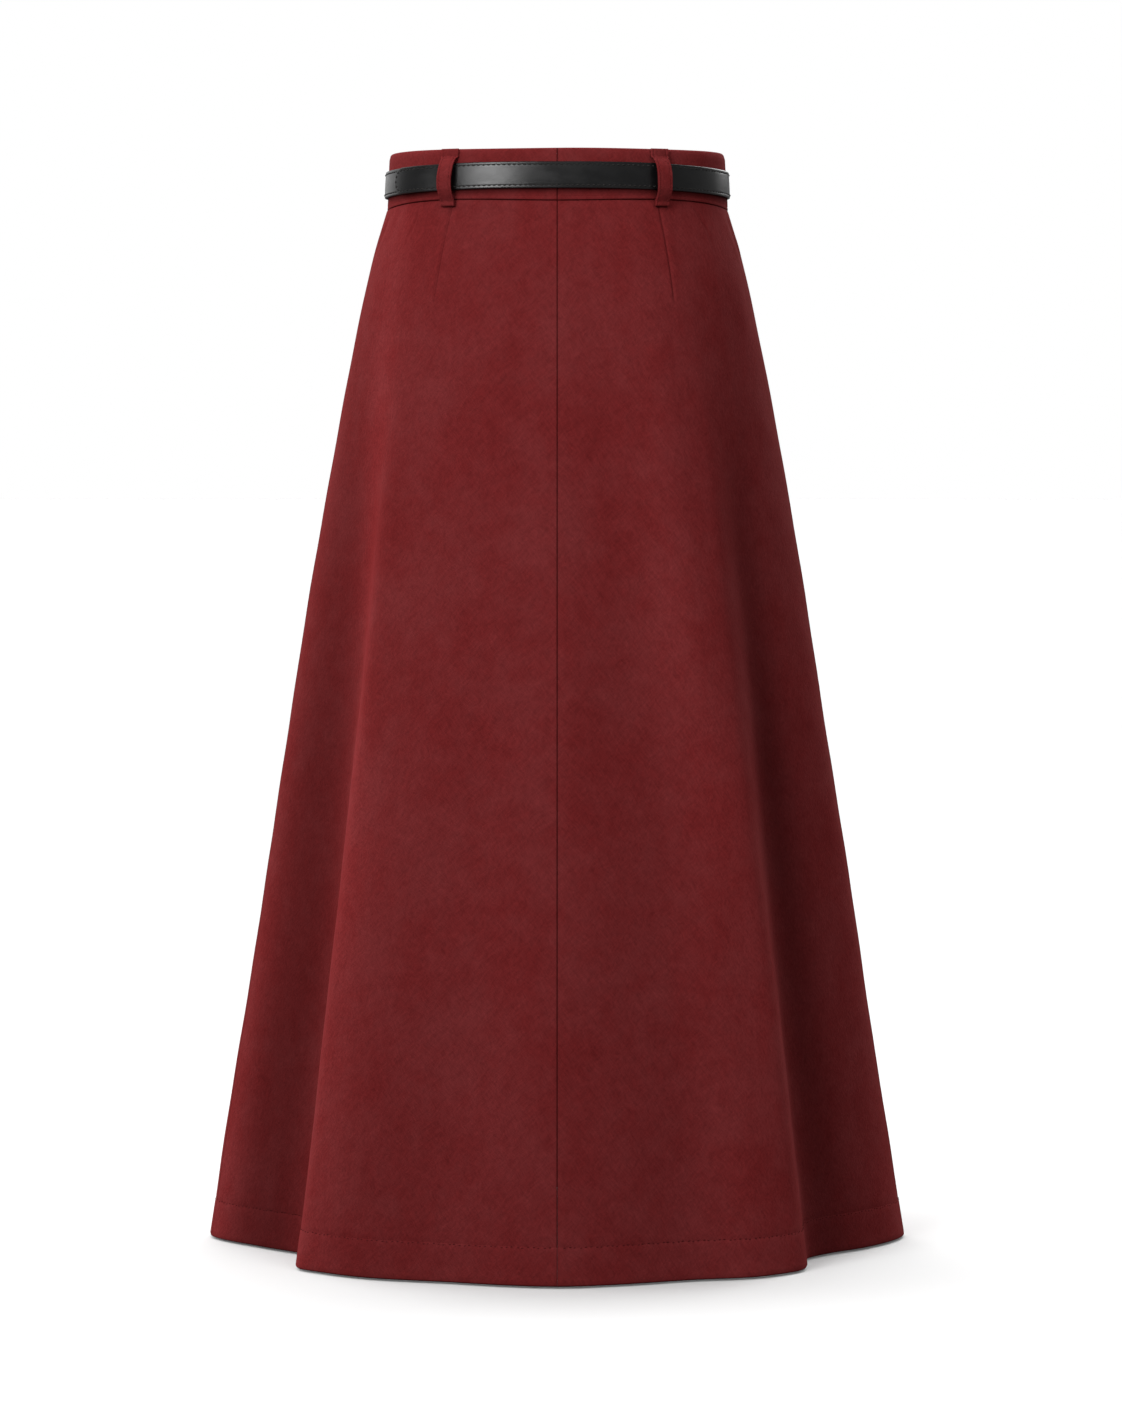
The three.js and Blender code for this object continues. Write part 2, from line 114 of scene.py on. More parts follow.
# The flutes: turn, how far the cloth stands off the cone at the hem, and where each begins.
FLUTES = np.array([
    (-178, 3, -110), (-157, -9, -120), (-135, -1, -95), (-119, -44, -85), (-104, -27, -85),
    (-89, 0, -80), (-74, -31.5, -80), (-62.5, -46, -80), (-48, -3, -90), (-38, -1.5, -120),
    (-20, -7.5, -130), (0, 0, -130), (24, -11, -110), (37.5, -1, -110), (45, -4, -90),
    (59, -36.5, -75), (66, -34, -75), (74, -22, -80), (89, 0, -80), (105, -29, -85),
    (120, -41, -90), (134, -1, -95), (158, -10, -125),
])

# Darts: turn and z of the top, turn and z of the point.
DARTS = [(-42.6, -20, -43.2, -97), (41.2, -20, 41.1, -97), (-137, -21, -140, -88), (137, -21, 140, -88)]

# Creases that the cloth has from wear: turn and z at both ends, half width and depth.
SHARP_CREASES = [(-57, -25, -58.2, -52, 1.2, 0.4), (56, -20, 60, -56, 1.2, 0.45)]
CREASES = SHARP_CREASES + [
    (-30, -24, -33, -46, 3.5, 0.3), (14, -24, 18, -44, 2.6, 0.4),
    (-76, -30, -80, -66, 4, 0.5), (78, -28, 80, -62, 4, 0.5),
    (-110, -26, -106, -58, 4, 0.5), (112, -27, 107, -60, 4, 0.5),
    (-150, -24, -147, -60, 4, 0.45), (152, -24, 149, -57, 4, 0.45),
    (-168, -26, -170, -52, 4, 0.3), (172, -26, 175, -50, 4, 0.3),
]

# Where gravity has set the folds crisper than the flutes alone: turn, half width in degrees, how
# far out or in, z where it starts and z where it is full.
SET_FOLDS = [
    (-52, 5, 2.2, -110, -260), (-68, 7, -3.2, -130, -330), (47, 5, 2.0, -150, -330),
    (62, 6.5, -3.6, -150, -330), (-134, 5, 2.0, -120, -300), (-119, 7, -3.0, -140, -330),
    (133, 5, 2.2, -130, -300), (119, 6.5, -3.4, -150, -330),
]

# Shade and highlight painted into the cloth's colour along the folds: lighter on a crest (above 0), darker
# in a valley.
# The turn at the hip and at the hem, half width in degrees, and how much at each of the four heights set
# just below.
PAINTED_FOLD_HEIGHTS = (-800, -440, -160, -60)
PAINTED_FOLD_LINES = [
    (-62, -50, 7, 0.20, 0.36, 0.26, 0.10), (-74, -73, 8, -0.50, -0.34, -0.04, 0.10),
    (-86, -85, 5, 0.30, 0.15, 0.08, 0.05), (-28, -33, 13, -0.08, 0.0, 0.0, 0.0),
    (28, 42, 12, 0.24, 0.26, 0.10, 0.06), (61, 64, 6, -0.34, -0.58, -0.05, 0.0),
    (84, 84, 6, 0.28, 0.05, 0.0, 0.0), (-128, -135, 8, 0.30, 0.30, 0.20, 0.06),
    (-115, -119, 7, -0.40, -0.40, 0.0, 0.06), (128, 134, 9, 0.26, 0.30, 0.18, 0.06),
    (116, 119, 6, -0.36, -0.45, 0.0, 0.0),
]

# ---- Curves and rings, as whole arrays ----


def ease(t):
    """A smooth step from 0 to 1: t squared times (3 - 2 t), t held between 0 and 1."""
    t = np.clip(t, 0, 1)
    return t * t * (3 - 2 * t)


def bell(x):
    """A bell of height 1: e to the power of minus x squared."""
    return np.exp(-x * x)


def round_off(distance, radius, least):
    """A share of full thickness that grows from an end as a quarter round does."""
    return np.sqrt(np.clip(1 - (1 - np.clip(distance / radius, 0, 1)) ** 2, least, 1))


def unit(vectors):
    return vectors / np.linalg.norm(vectors, axis=-1, keepdims=True)


def pairs(first, second):
    """Two arrays, stretched to one shape, as an array of pairs."""
    return np.stack(np.broadcast_arrays(first, second), -1)


def mirrored(values, middle, sign=1):
    """Values from an edge to the middle, and on in reverse to the other edge, along the last axis."""
    centre = np.full((*values.shape[:-1], 1), middle)
    return np.concatenate([values, centre, sign * values[..., ::-1]], -1)


def run_lengths(points, axis):
    """The length run along an axis of a grid of points, from 0."""
    steps = np.linalg.norm(np.diff(points, axis=axis), axis=-1)
    return np.concatenate([np.zeros_like(steps.take([0], axis)), np.cumsum(steps, axis)], axis)


def away_from(line, turn):
    """Degrees from a line's turn to another turn, the shorter way round."""
    return (turn - line + 180) % 360 - 180


def curve_through(xs, ys, x):
    """Cubic pieces through the points (xs, ys). The slope at a point is the harmonic mean of the
    rises on its two sides, and zero at a crest or a valley. ys has a column for each x, or one."""
    x, shape = np.ravel(x), np.shape(x)
    ys = np.broadcast_to(np.reshape(ys, (len(xs), -1)), (len(xs), x.size))
    rise = np.diff(ys, axis=0) / np.diff(xs)[:, None]
    before, after = rise[:-1], rise[1:]
    total = np.where(before + after == 0, 1, before + after)
    inner = np.where(before * after > 0, 2 * before * after / total, 0)
    slope = np.concatenate([rise[:1], inner, rise[-1:]])
    i = np.clip(np.searchsorted(xs, x, side="right") - 1, 0, len(xs) - 2)
    n = np.arange(x.size)
    span = xs[i + 1] - xs[i]
    t = (x - xs[i]) / span
    bend = span * (slope[i, n] * t * (1 - t) ** 2 + slope[i + 1, n] * t * t * (t - 1))
    return (ys[i, n] + (ys[i + 1, n] - ys[i, n]) * t * t * (3 - 2 * t) + bend).reshape(shape)


def by_height(table, z):
    """The curve through each of a table's columns, whose rows go up by height."""
    return [curve_through(table[:, 0], column, z) for column in table.T[1:]]


def grown(starts, z):
    """The share of its depth at the hem that a flute has at z: a soft start, then nearly straight."""
    t = np.clip((starts - z) / (starts - HEM_Z), 0, 1)
    return t / (t + 0.04) * 1.04 * t * (1.25 - 0.25 * t)


def flute_out(turn, z):
    """How far the flutes stand off the cone: the smooth curve through every crest and valley."""
    first = FLUTES[0, 0]
    rows = np.concatenate([FLUTES[-2:] - (360, 0, 0), FLUTES, FLUTES[:2] + (360, 0, 0)])
    outs = rows[:, 1:2] * grown(rows[:, 2:3], np.ravel(z))
    return curve_through(rows[:, 0], outs, first + np.mod(turn - first, 360))


def ring_radius(table, turn, z):
    """The radius of a superellipse whose half axes and squareness follow the table by height."""
    side, back, front, square = by_height(table, z)
    a = np.radians(turn)
    across = np.abs(np.sin(a)) / side
    along = np.abs(np.cos(a)) / np.where(np.cos(a) > 0, back, front)
    return (across**square + along**square) ** (-1 / square)


def at_turn(turn, radius, z):
    """Cylinder to plain coordinates: (r sin turn, -r cos turn, z)."""
    a = np.radians(turn)
    return np.stack(np.broadcast_arrays(radius * np.sin(a), -radius * np.cos(a), z), -1)


def body_point(turn, z):
    return at_turn(turn, ring_radius(BODY, turn, z) + flute_out(turn, z), z)


def band_point(turn, z):
    return at_turn(turn, ring_radius(BAND, turn, z), z)


def flat_normal(surface, turn, z):
    """The outward normal of a surface, without scaling its level part back to length 1."""
    d_turn, d_z = 0.05, 0.5
    round_ = surface(turn + d_turn, z) - surface(turn - d_turn, z)
    up = surface(turn, z + d_z) - surface(turn, z - d_z)
    normal = unit(np.cross(round_, up))
    normal[..., 2] = 0
    return normal


def off(surface, turn, z, distance):
    """A point at a distance off a surface, along its normal but at the same height."""
    turn, z, distance = np.broadcast_arrays(turn, z, distance)
    return surface(turn, z) + flat_normal(surface, turn, z) * distance[..., None]


def side_share(turn):
    """0 where a turn faces back or front and 1 where it faces the side: its sine squared."""
    return np.sin(np.radians(turn)) ** 2


def dip(turn, z):
    """How much lower a row runs than at the centre back. With s for side_share, the waist seam lies
    lower by WAIST_SEAM_DIP s^5 - WAIST_SEAM_RISE 4 s (1 - s), which fades out below the seam."""
    s = side_share(turn)
    lower = WAIST_SEAM_DIP * s**5 - WAIST_SEAM_RISE * 4 * s * (1 - s)
    return lower * np.clip((z - DIP_FADES_AT) / (WAIST_SEAM_Z - DIP_FADES_AT), 0, 1)


# ---- Meshes from grids ----


def tube_faces(rows, count, endless=False):
    """Quads that join closed sections of count points. Points k and last - k of a section face each
    other across its thickness, so the strips between those pairs close the two ends."""
    last_row = rows if endless else rows - 1
    i, j = (v.ravel() for v in np.meshgrid(np.arange(last_row), np.arange(count), indexing="ij"))
    corners = ((i, j), (i + 1, j), (i + 1, j + 1), (i, j + 1))
    faces = np.stack([a % rows * count + b % count for a, b in corners], 1)
    if endless:
        return faces
    k = np.arange(count // 2 - 1)
    near = np.stack([k, k + 1, count - 2 - k, count - 1 - k], -1)
    return np.concatenate([faces, near, (rows - 1) * count + near[:, ::-1]])


def make_mesh(name, points, faces, uv=None, attributes=None):
    """A mesh object in metres from points in millimetres and quads, turned to face outwards: the
    volume that they hold has to be above 0. A UV pair and each attribute belong to a point."""
    a, b, c, d = (points[faces[:, k]] for k in range(4))
    if np.sum(a * np.cross(b, c)) + np.sum(a * np.cross(c, d)) < 0:
        faces = faces[:, ::-1]
    mesh = bpy.data.meshes.new(name)
    mesh.vertices.add(len(points))
    mesh.vertices.foreach_set("co", (points * MM).astype(np.float32).ravel())
    mesh.loops.add(faces.size)
    mesh.loops.foreach_set("vertex_index", faces.astype(np.int32).ravel())
    mesh.polygons.add(len(faces))
    mesh.polygons.foreach_set("loop_start", np.arange(0, faces.size, 4, dtype=np.int32))
    mesh.polygons.foreach_set("use_smooth", np.ones(len(faces), bool))
    if uv is not None:
        layer = mesh.uv_layers.new(name="UVMap")
        layer.data.foreach_set("uv", (uv[faces] * MM).astype(np.float32).ravel())
    for key, values in (attributes or {}).items():
        attribute = mesh.attributes.new(key, "FLOAT", "POINT")
        attribute.data.foreach_set("value", values.astype(np.float32).ravel())
    mesh.update(calc_edges=True)
    mesh.validate()
    return new_object(name, mesh)


def loft(name, sections, uv, endless=False, **attributes):
    """Closed sections, (rows, points, 3), joined into one piece."""
    rows, count = sections.shape[:2]
    attributes = {key: np.broadcast_to(values, (rows, count)) for key, values in attributes.items()}
    faces = tube_faces(rows, count, endless)
    return make_mesh(name, sections.reshape(-1, 3), faces, uv.reshape(-1, 2), attributes)


# ---- Cloth panels ----

ROLL = np.array([0, 0.08, 0.22, 0.45, 0.85, 2.0])  # distances from a seam where the cloth rolls in
ROLL_RADIUS = 0.85
PANEL_ROWS = 236
SEAM_MARGIN, FINE_MARGIN = 2.6, 3  # degrees from a seam to the first even and the first fine column
BEND_STEPS = 6  # rows round the hem's edge
FAR = 99.0  # from any seam


def rolled(distance):
    """How deep the cloth lies at a distance from a seam: a quarter round."""
    inside = np.clip(ROLL_RADIUS - distance, 0, ROLL_RADIUS)
    return ROLL_RADIUS - np.sqrt(ROLL_RADIUS**2 - inside**2)


def soft_line(turn, z, line):
    """How far a place lies from a slanting line on the cloth, in millimetres, and how far along it,
    from 0 at its start to 1 at its end."""
    turn_a, z_a, turn_b, z_b = line[:4]
    radius = ring_radius(BODY, turn, z)
    x = np.radians(away_from(turn_a, turn)) * radius
    run_x = math.radians(away_from(turn_a, turn_b)) * float(np.mean(radius))
    run_z = z_b - z_a
    length = math.hypot(run_x, run_z)
    t = (x * run_x + (z - z_a) * run_z) / length**2
    return (x * run_z - (z - z_a) * run_x) / length, t


def to_dart(turn, z):
    """The distance to the nearest dart, on a level with it."""
    places = (soft_line(turn, z, dart) for dart in DARTS)
    return np.min([np.where(t < 1, np.abs(aside), FAR) for aside, t in places], 0)


def wear(turn, z):
    """What wear adds to the cone and flutes: uneven creases under the waistband, the darts' pulled-in
    lines with the cloth swelling beside and beyond them, the folds that gravity has set, and slow
    waves, each a product of sines, down the panels."""
    out = np.zeros(np.shape(turn))
    for crease in CREASES:
        aside, t = soft_line(turn, z, crease)
        half, depth = crease[4:]
        fade = ease(t / 0.25 + 0.4) * ease((1.25 - t) / 0.7)
        uneven = 1 + 0.3 * np.sin(7 * t + crease[0])
        aside = aside + 1.2 * np.sin(5 * t + crease[1])
        banks = 0.55 * bell((np.abs(aside) - 2 * half) / (1.4 * half))
        out += 1.6 * depth * fade * uneven * (banks - bell(aside / half))
    for dart in DARTS:
        aside, t = soft_line(turn, z, dart)
        out += ease((1.02 - t) / 0.12) * (t > -0.4) * (0.45 * bell(aside / 7) - 0.9 * bell(aside / 1.1))
        out += 0.5 * ease((1.6 - t) / 0.6) * ease((t - 0.5) / 0.4) * bell(aside / 16)
    for line, half, stands_out, start, full in SET_FOLDS:
        strength = ease((start - z) / (start - full)) * (1 - 0.5 * ease((-560 - z) / 240))
        out += stands_out * bell(away_from(line, turn) / half) * strength
    low = ease((-110 - z) / 300)
    a = np.radians(turn)
    out += 0.7 * low * np.sin(9 * a + 0.006 * z + 1.0) * np.sin(4 * a - 0.011 * z)
    out += 0.45 * low * np.sin(17 * a - 0.009 * z) * np.sin(0.021 * z + 3 * a)
    out += 0.25 * np.sin(23 * a + 0.05 * z) * np.sin(0.037 * z - 5 * a + 2) * ease((-40 - z) / 60)
    return out


def nap_lies(turn, z):
    """Painted shade and highlight along the folds, how much lighter or darker: e to the power of a bell for
    each line.
    """
    painted = np.zeros(np.shape(turn))
    for at_hip, at_hem, half, *levels in PAINTED_FOLD_LINES:
        line = at_hip + (at_hem - at_hip) * ease((-160 - z) / 440)
        painted += np.interp(z, PAINTED_FOLD_HEIGHTS, levels) * bell(away_from(line, turn) / half)
    return np.exp(painted)


def cloth_point(turn, z):
    """The outside of a panel: the cone, its flutes and its wear."""
    return at_turn(turn, ring_radius(BODY, turn, z) + flute_out(turn, z) + wear(turn, z), z)


def even_turns(start, end, count):
    """Turns between two edges, spaced evenly by the length along the cloth between hip and hem."""
    turns = np.linspace(start, end, 721)
    length = sum(run_lengths(body_point(turns, z), 0) / abs(z) for z in (HEM_Z, -500.0, -200.0))
    return np.interp(np.linspace(0, length[-1], count), length, turns)


def panel_turns(start, end, columns):
    """The turns of a panel's columns between its seams, with finer ones over darts and sharp creases."""
    turns = [even_turns(start + SEAM_MARGIN, end - SEAM_MARGIN, columns)]
    for turn_a, _, turn_b, *_ in DARTS + SHARP_CREASES:
        fine = np.linspace(min(turn_a, turn_b) - 0.7, max(turn_a, turn_b) + 0.7, 14)
        fine += 360 * (fine.mean() < start)
        turns.append(fine[(fine > start + FINE_MARGIN) & (fine < end - FINE_MARGIN)])
    return np.sort(np.concatenate(turns))


def panel(name, start, end, columns):
    """One panel as a closed shell. Columns run from seam to seam and rows from the waist seam to the
    hem. The face is cloth_point, rolled in by a quarter round at the seams. The inside lies one
    cloth deeper, two where the hem is turned up and where the seam allowances lie, and a half
    round joins them along the hem."""
    inner = panel_turns(start, end, columns)
    hem_line = WAIST_SEAM_Z - HEM_Z - HEM_DEPTH
    even_drop = np.linspace(ROLL[-1], WAIST_SEAM_Z - HEM_Z - HEM_CLOTH / 2, PANEL_ROWS)
    drop = np.sort(np.concatenate([ROLL[:-1], even_drop, hem_line + np.array([-0.6, -0.25, 0.25, 0.6])]))
    below = drop[:, None]

    base = np.concatenate([np.full(len(ROLL), start), inner, np.full(len(ROLL), end)])
    to_seam = np.concatenate([ROLL, np.full(len(inner), FAR), ROLL[::-1]])
    beside = SEWN_GAP / 2 + ROLL
    shift = np.concatenate([beside, np.zeros(len(inner)), -beside[::-1]])
    z = WAIST_SEAM_Z - SEWN_GAP / 2 - below + 0 * base
    turn = base + np.degrees(shift / ring_radius(BODY, base, z))
    z = z - dip(turn, z)

    face, normal = cloth_point(turn, z), flat_normal(body_point, turn, z)
    u, v = run_lengths(face, 1), run_lengths(face, 0)
    from_side = np.minimum(u, u[:, -1:] - u)
    hem = ease((below - hem_line) / 0.6 + 0.5)
    roll = np.maximum(rolled(to_seam) * (1 - 0.4 * hem), rolled(below) * 0.85)
    swell = 0.22 * hem - 0.24 * bell((below - hem_line) / 1.1)
    allowance = ease(ALLOWANCE - from_side) * ease((below - 1) / 3)
    thickness = CLOTH + (HEM_CLOTH - CLOTH) * np.maximum(hem, 0.85 * allowance)
    outside = face + normal * (swell - roll)[..., None]
    inside = face - normal * thickness[..., None]

    angle = np.radians(np.linspace(0, 180, BEND_STEPS + 2)[1:-1])[:, None, None]
    middle, half = (outside[-1] + inside[-1]) / 2, (outside[-1] - inside[-1]) / 2
    bend = middle + half * np.cos(angle) - np.array([0, 0, HEM_CLOTH / 2]) * np.sin(angle)
    sections = np.concatenate([outside, bend, inside[::-1]]).swapaxes(0, 1)
    u = u - u[:, [u.shape[1] // 2]]
    v_bend = v[-1] + np.linspace(0, HEM_CLOTH, BEND_STEPS + 2)[1:-1, None]
    uv = np.concatenate([pairs(u, -v), pairs(u[-1], -v_bend), pairs(u, -v)[::-1]]).swapaxes(0, 1)

    def all_round(rows):
        """Values by row of the face, carried on round the hem and up the inside."""
        return np.concatenate([rows, rows[-1:].repeat(BEND_STEPS, 0), rows[::-1]]).T

    # How far a place lies from a seam, a dart or the waist seam; the material paints shade into the cloth
    # close to them.
    from_seam = np.minimum(np.minimum(from_side + 0.22 * hem, to_dart(turn, z) + 0.34), below)
    out_to_in = np.repeat([1.0, 0.8, 0.2, 0.0], [len(drop), BEND_STEPS // 2, BEND_STEPS // 2, len(drop)])
    # The last attribute carries the shade and highlight painted along the folds.
    return loft(name, sections, uv, from_seam=all_round(from_seam), face=out_to_in,
                nap=all_round(nap_lies(turn, z)))


# ---- Waistband and belt loops ----

BELT_WIDTH, BELT_HEIGHT, BELT_DROOP = 20.0, 0.0, 3.6  # the belt's middle lies lower at the sides


def belt_middle(turn):
    return BELT_HEIGHT - BELT_DROOP * side_share(turn) ** 2


def waistband():
    """One folded strip, as a closed section carried round the waist. Its foot rolls in at the waist
    seam, a shallow line is pressed in above it, and a half round closes the fold along the top.
    The ends roll in at the centre back."""
    half_gap, per_mm = math.degrees(0.001 / 102.8), math.degrees(1 / 102.5)  # at the centre back
    near = half_gap + ROLL * per_mm
    even = np.linspace(near[-1] + 1.2, 360 - near[-1] - 1.2, 300)
    turn = np.concatenate([near, even, 360 - near[::-1]])[:, None]
    low = np.array([0, 0.12, 0.36, 0.72, 1.2, 1.7, 2.1, 2.45, BAND_LINE, 3.15, 3.5, 4.0, 5.0])
    share = np.linspace(0, 1, 12)[1:]
    level = np.concatenate([low, low[-1] + share * 34])
    half = BAND_CLOTH / 2
    bend = np.radians(np.linspace(0, 180, 9)[1:-1])
    foot = WAIST_SEAM_Z - dip(turn, WAIST_SEAM_Z) + SEWN_GAP / 2
    lift = 0.35 * np.sin(np.radians(turn * 3 + 40)) * np.cos(np.radians(turn * 2))
    top = BAND_TOP - half - 0.35 + lift
    z_up = np.concatenate([foot + low, foot + low[-1] + (top - foot - low[-1]) * share], 1)
    z = np.concatenate([z_up, top + half * np.sin(bend), z_up[:, ::-1]], 1)
    press = 0.2 * bell((level - BAND_LINE) / 0.5) - 0.1 * bell((level - 4.4) / 1.2)
    inner = np.full(len(level), BAND_CLOTH)
    depth = np.concatenate([rolled(level) + press, half - half * np.cos(bend), inner])
    outer = depth < BAND_CLOTH - 0.2
    to_end = np.minimum(np.minimum(turn, 360 - turn) - half_gap, 5) / per_mm
    soft = 0.22 * np.sin(np.radians(turn * 7)) * np.sin(z / 9) + 0.18 * np.sin(np.radians(turn * 13 + 30))
    lean = BAND_LEAN * ease((z - BAND_TOP + 5) / 5) ** 2
    points = off(band_point, turn, z, soft * 0.8 - lean - np.maximum(depth, rolled(to_end) * outer))
    u, v = run_lengths(points, 0)[:, [10]], run_lengths(points, 1)
    fold = v[:, [len(level) + 3]]
    v = np.where(v > fold, 2 * fold - v, v)
    # A shadow painted into the band's colour just under the belt, carried in the last attribute.
    above_shadow = z - belt_middle(turn) + BELT_WIDTH / 2 + 0.7
    return loft("waistband_cloth", points, pairs(u, v), from_seam=np.minimum(to_end, np.abs(z - foot)),
                face=1.0 * outer, nap=1 - 0.72 * bell(above_shadow / 3.1))


LOOP_WIDTH = 13.2
LOOP_TURNS = {"back_left": -43.7, "back_right": 41.7, "front_left": -136, "front_right": 136}
# A loop's inner and outer faces off the band, by height, from its turned-under foot to its sewn top.
LOOP_PROFILE = np.array([
    (-23.4, 0.3, 3.9), (-19.7, 0.5, 4.3), (-17.5, 2.8, 5.6), (-14, 5.9, 7.9), (-9, 7.9, 9.9),
    (-1.5, 8.6, 10.6), (6, 7.2, 9.2), (10.9, 4.3, 6.3), (13.4, 1.5, 3.5), (15.4, 0.3, 2.3), (20.4, 0.3, 2.3),
])
LOOP_TOP, LOOP_FOOT = 20.35, -23.3
LOOP_TACK_Z = 14.6
LOOP_EDGE_STITCH = 2.1
# A loop's share of its full width, by height: folded wider above the tack, drawn in over the belt.
LOOP_SHARE = np.array([
    (-23.4, 0.82), (-19, 0.81), (-10, 0.82), (8, 0.84), (12.8, 0.90), (14.0, 1.08), (20.4, 1.08),
])


def loop_faces(z):
    """How far a loop's inner and outer faces stand off the band at a height, less the dent of the
    tack across its top."""
    inner, outer = by_height(LOOP_PROFILE, z)
    return inner, outer - 0.3 * bell((z - LOOP_TACK_Z) / 0.7)


def loop_share(z):
    return np.interp(z, *LOOP_SHARE.T)


def loop_turn(place, across):
    """The turn of a place on a loop, given how far it lies across from the loop's middle."""
    turn = LOOP_TURNS[place]
    return turn + np.degrees(across / ring_radius(BAND, turn, 0.0))


def belt_loop(place):
    """A strip of cloth bowed over the belt: a section with round edges and two stitched lines,
    carried down loop_faces, its width following loop_share."""
    half = LOOP_WIDTH / 2
    tack = LOOP_TACK_Z + np.linspace(-1.5, 1.5, 13)
    z = np.unique(np.concatenate([np.linspace(LOOP_TOP, LOOP_FOOT, 90), tack]))[::-1, None]
    a = np.radians([0, 22, 45, 67, 90])
    flat = np.array([1.3, 1.6, 1.85, LOOP_EDGE_STITCH, 2.35, 2.6, 2.9, 4.2])
    from_edge = np.concatenate([0.8 * (1 - np.cos(a)), flat])
    stitched = 0.3 * bell((flat - LOOP_EDGE_STITCH) / 0.4)
    across = mirrored(half - from_edge, 0.0, -1)
    sunk = mirrored(np.concatenate([0.8 * (1 - np.sin(a)), stitched]), -0.12)
    back_sunk = np.where(np.abs(across) > half - 0.6, 0.5, 0.0)
    inner, outer = loop_faces(z)
    middle, thick = (inner + outer) / 2, (outer - inner) / 2
    end = np.minimum(round_off(z - z[-1], 1.4, 0.02), round_off(z[0] - z, 1.0, 0.05))
    wobble = 0.25 * np.sin(z / 6 + LOOP_TURNS[place]) + 0.15 * np.sin(z / 3.1)
    turns = loop_turn(place, across * loop_share(z) + wobble * 0.6)
    outside = off(band_point, turns, z, middle + (thick - sunk) * end)
    inside = off(band_point, turns, z, middle - (thick - back_sunk) * end)
    u = np.concatenate([across, across[::-1]])
    v = run_lengths(outside, 0)[:, [len(across) // 2]]
    return loft("loop_cloth_" + place, np.concatenate([outside, inside[:, ::-1]], 1), pairs(u, -v),
                from_seam=half - np.abs(u) + 3, face=np.repeat([1.0, 0.0], len(across)), nap=1.0)


# ---- Belt ----
#
# A place on the belt is along, out and up: the length round the waist from the centre front towards
# the wearer's left, the distance off the band and the height from the belt's middle.

LEATHER = 2.1
EDGE_STITCH = 2.3  # from the belt's edge to its stitching
LAP_TURN, LAP_LENGTH, LAP_SLOPE = -69.0, 26.0, 22.0
TAIL_LENGTH, TURNED_BACK_TO = 68.0, 27.0
BUCKLE_LENGTH, BUCKLE_HEIGHT, BUCKLE_CORNER, WIRE = 27.0, 29.0, 5.0, 2.6
PRONG_WIDTH, PRONG_THICKNESS = 2.6, 2.0
KEEPER_AT, KEEPER_WIDTH, KEEPER_LEATHER = 33.5, 8.0, 1.4
HOLE_AT, HOLE_SPACING, HOLE_RADIUS = 4.3, 20.0, 1.6
PRONG_SLOT = PRONG_WIDTH / 2 + 0.4  # half its width
HEEL_SLOT, TIP_SLOT = 15.0, 10.6  # the lengths of the slots that the prong goes through
ROUND_END = 10.5  # from a strap's round end to its full width
GROOVE_FROM = 9.7  # the half width from which a strap is grooved
HOLE_EDGE = 40  # degrees from which an edge that is cut stays sharp

HALF_BELT = BELT_WIDTH / 2
RING_TURNS = np.linspace(-180, 180, 721)
RING_ALONG = run_lengths(band_point(RING_TURNS, 0.0), 0)
ROUND_WAIST = RING_ALONG[-1]
LAYER = LEATHER + SEAM_GAP
LOW = SEAM_GAP + LEATHER / 2  # out, of the middle of a strap on the band
HIGH = LOW + LAYER  # and of a strap on another strap
HALF_BUCKLE = (BUCKLE_LENGTH - WIRE) / 2
BAR_OUT = SEAM_GAP + LAYER + WIRE / 2
FOLD_RADIUS = WIRE / 2 + SEAM_GAP + LEATHER / 2
OVER_BAR = BAR_OUT + FOLD_RADIUS
TOP_CORNERS = [(HALF_BUCKLE, OVER_BAR), (HALF_BUCKLE + 14, HIGH), (44.0, HIGH), (58.0, LOW)]
LAP_AT = float(np.interp(LAP_TURN, RING_TURNS, RING_ALONG))


def on_belt(along, out, up):
    """A place on the belt in plain coordinates."""
    turn = np.interp(np.mod(along, ROUND_WAIST), RING_ALONG, RING_TURNS)
    return off(band_point, turn, belt_middle(turn) + up, out)


def slopes(corners, step):
    """A path through corners (along, out), joined by smooth steps, in even strides."""
    parts = [np.array(corners[:1])]
    for (a, out_a), (b, out_b) in zip(corners[:-1], corners[1:]):
        t = np.linspace(0, 1, max(1, math.ceil(abs(b - a) / step)) + 1)[1:]
        parts.append(pairs(a + (b - a) * t, out_a + (out_b - out_a) * ease(t)))
    return np.concatenate(parts)


def path_normal(path):
    """The unit normal of a path in the plane of along and out: its stride turned by a right angle."""
    stride = np.gradient(path, axis=0)
    return unit(pairs(-stride[:, 1], stride[:, 0]))


def along_path(path, levels, ups):
    """A grid of places on the belt, a row for each point of a path: levels off it, along its normal."""
    along, out = (path[:, None] + path_normal(path)[:, None] * levels[..., None]).transpose(2, 0, 1)
    return on_belt(along, out, ups)


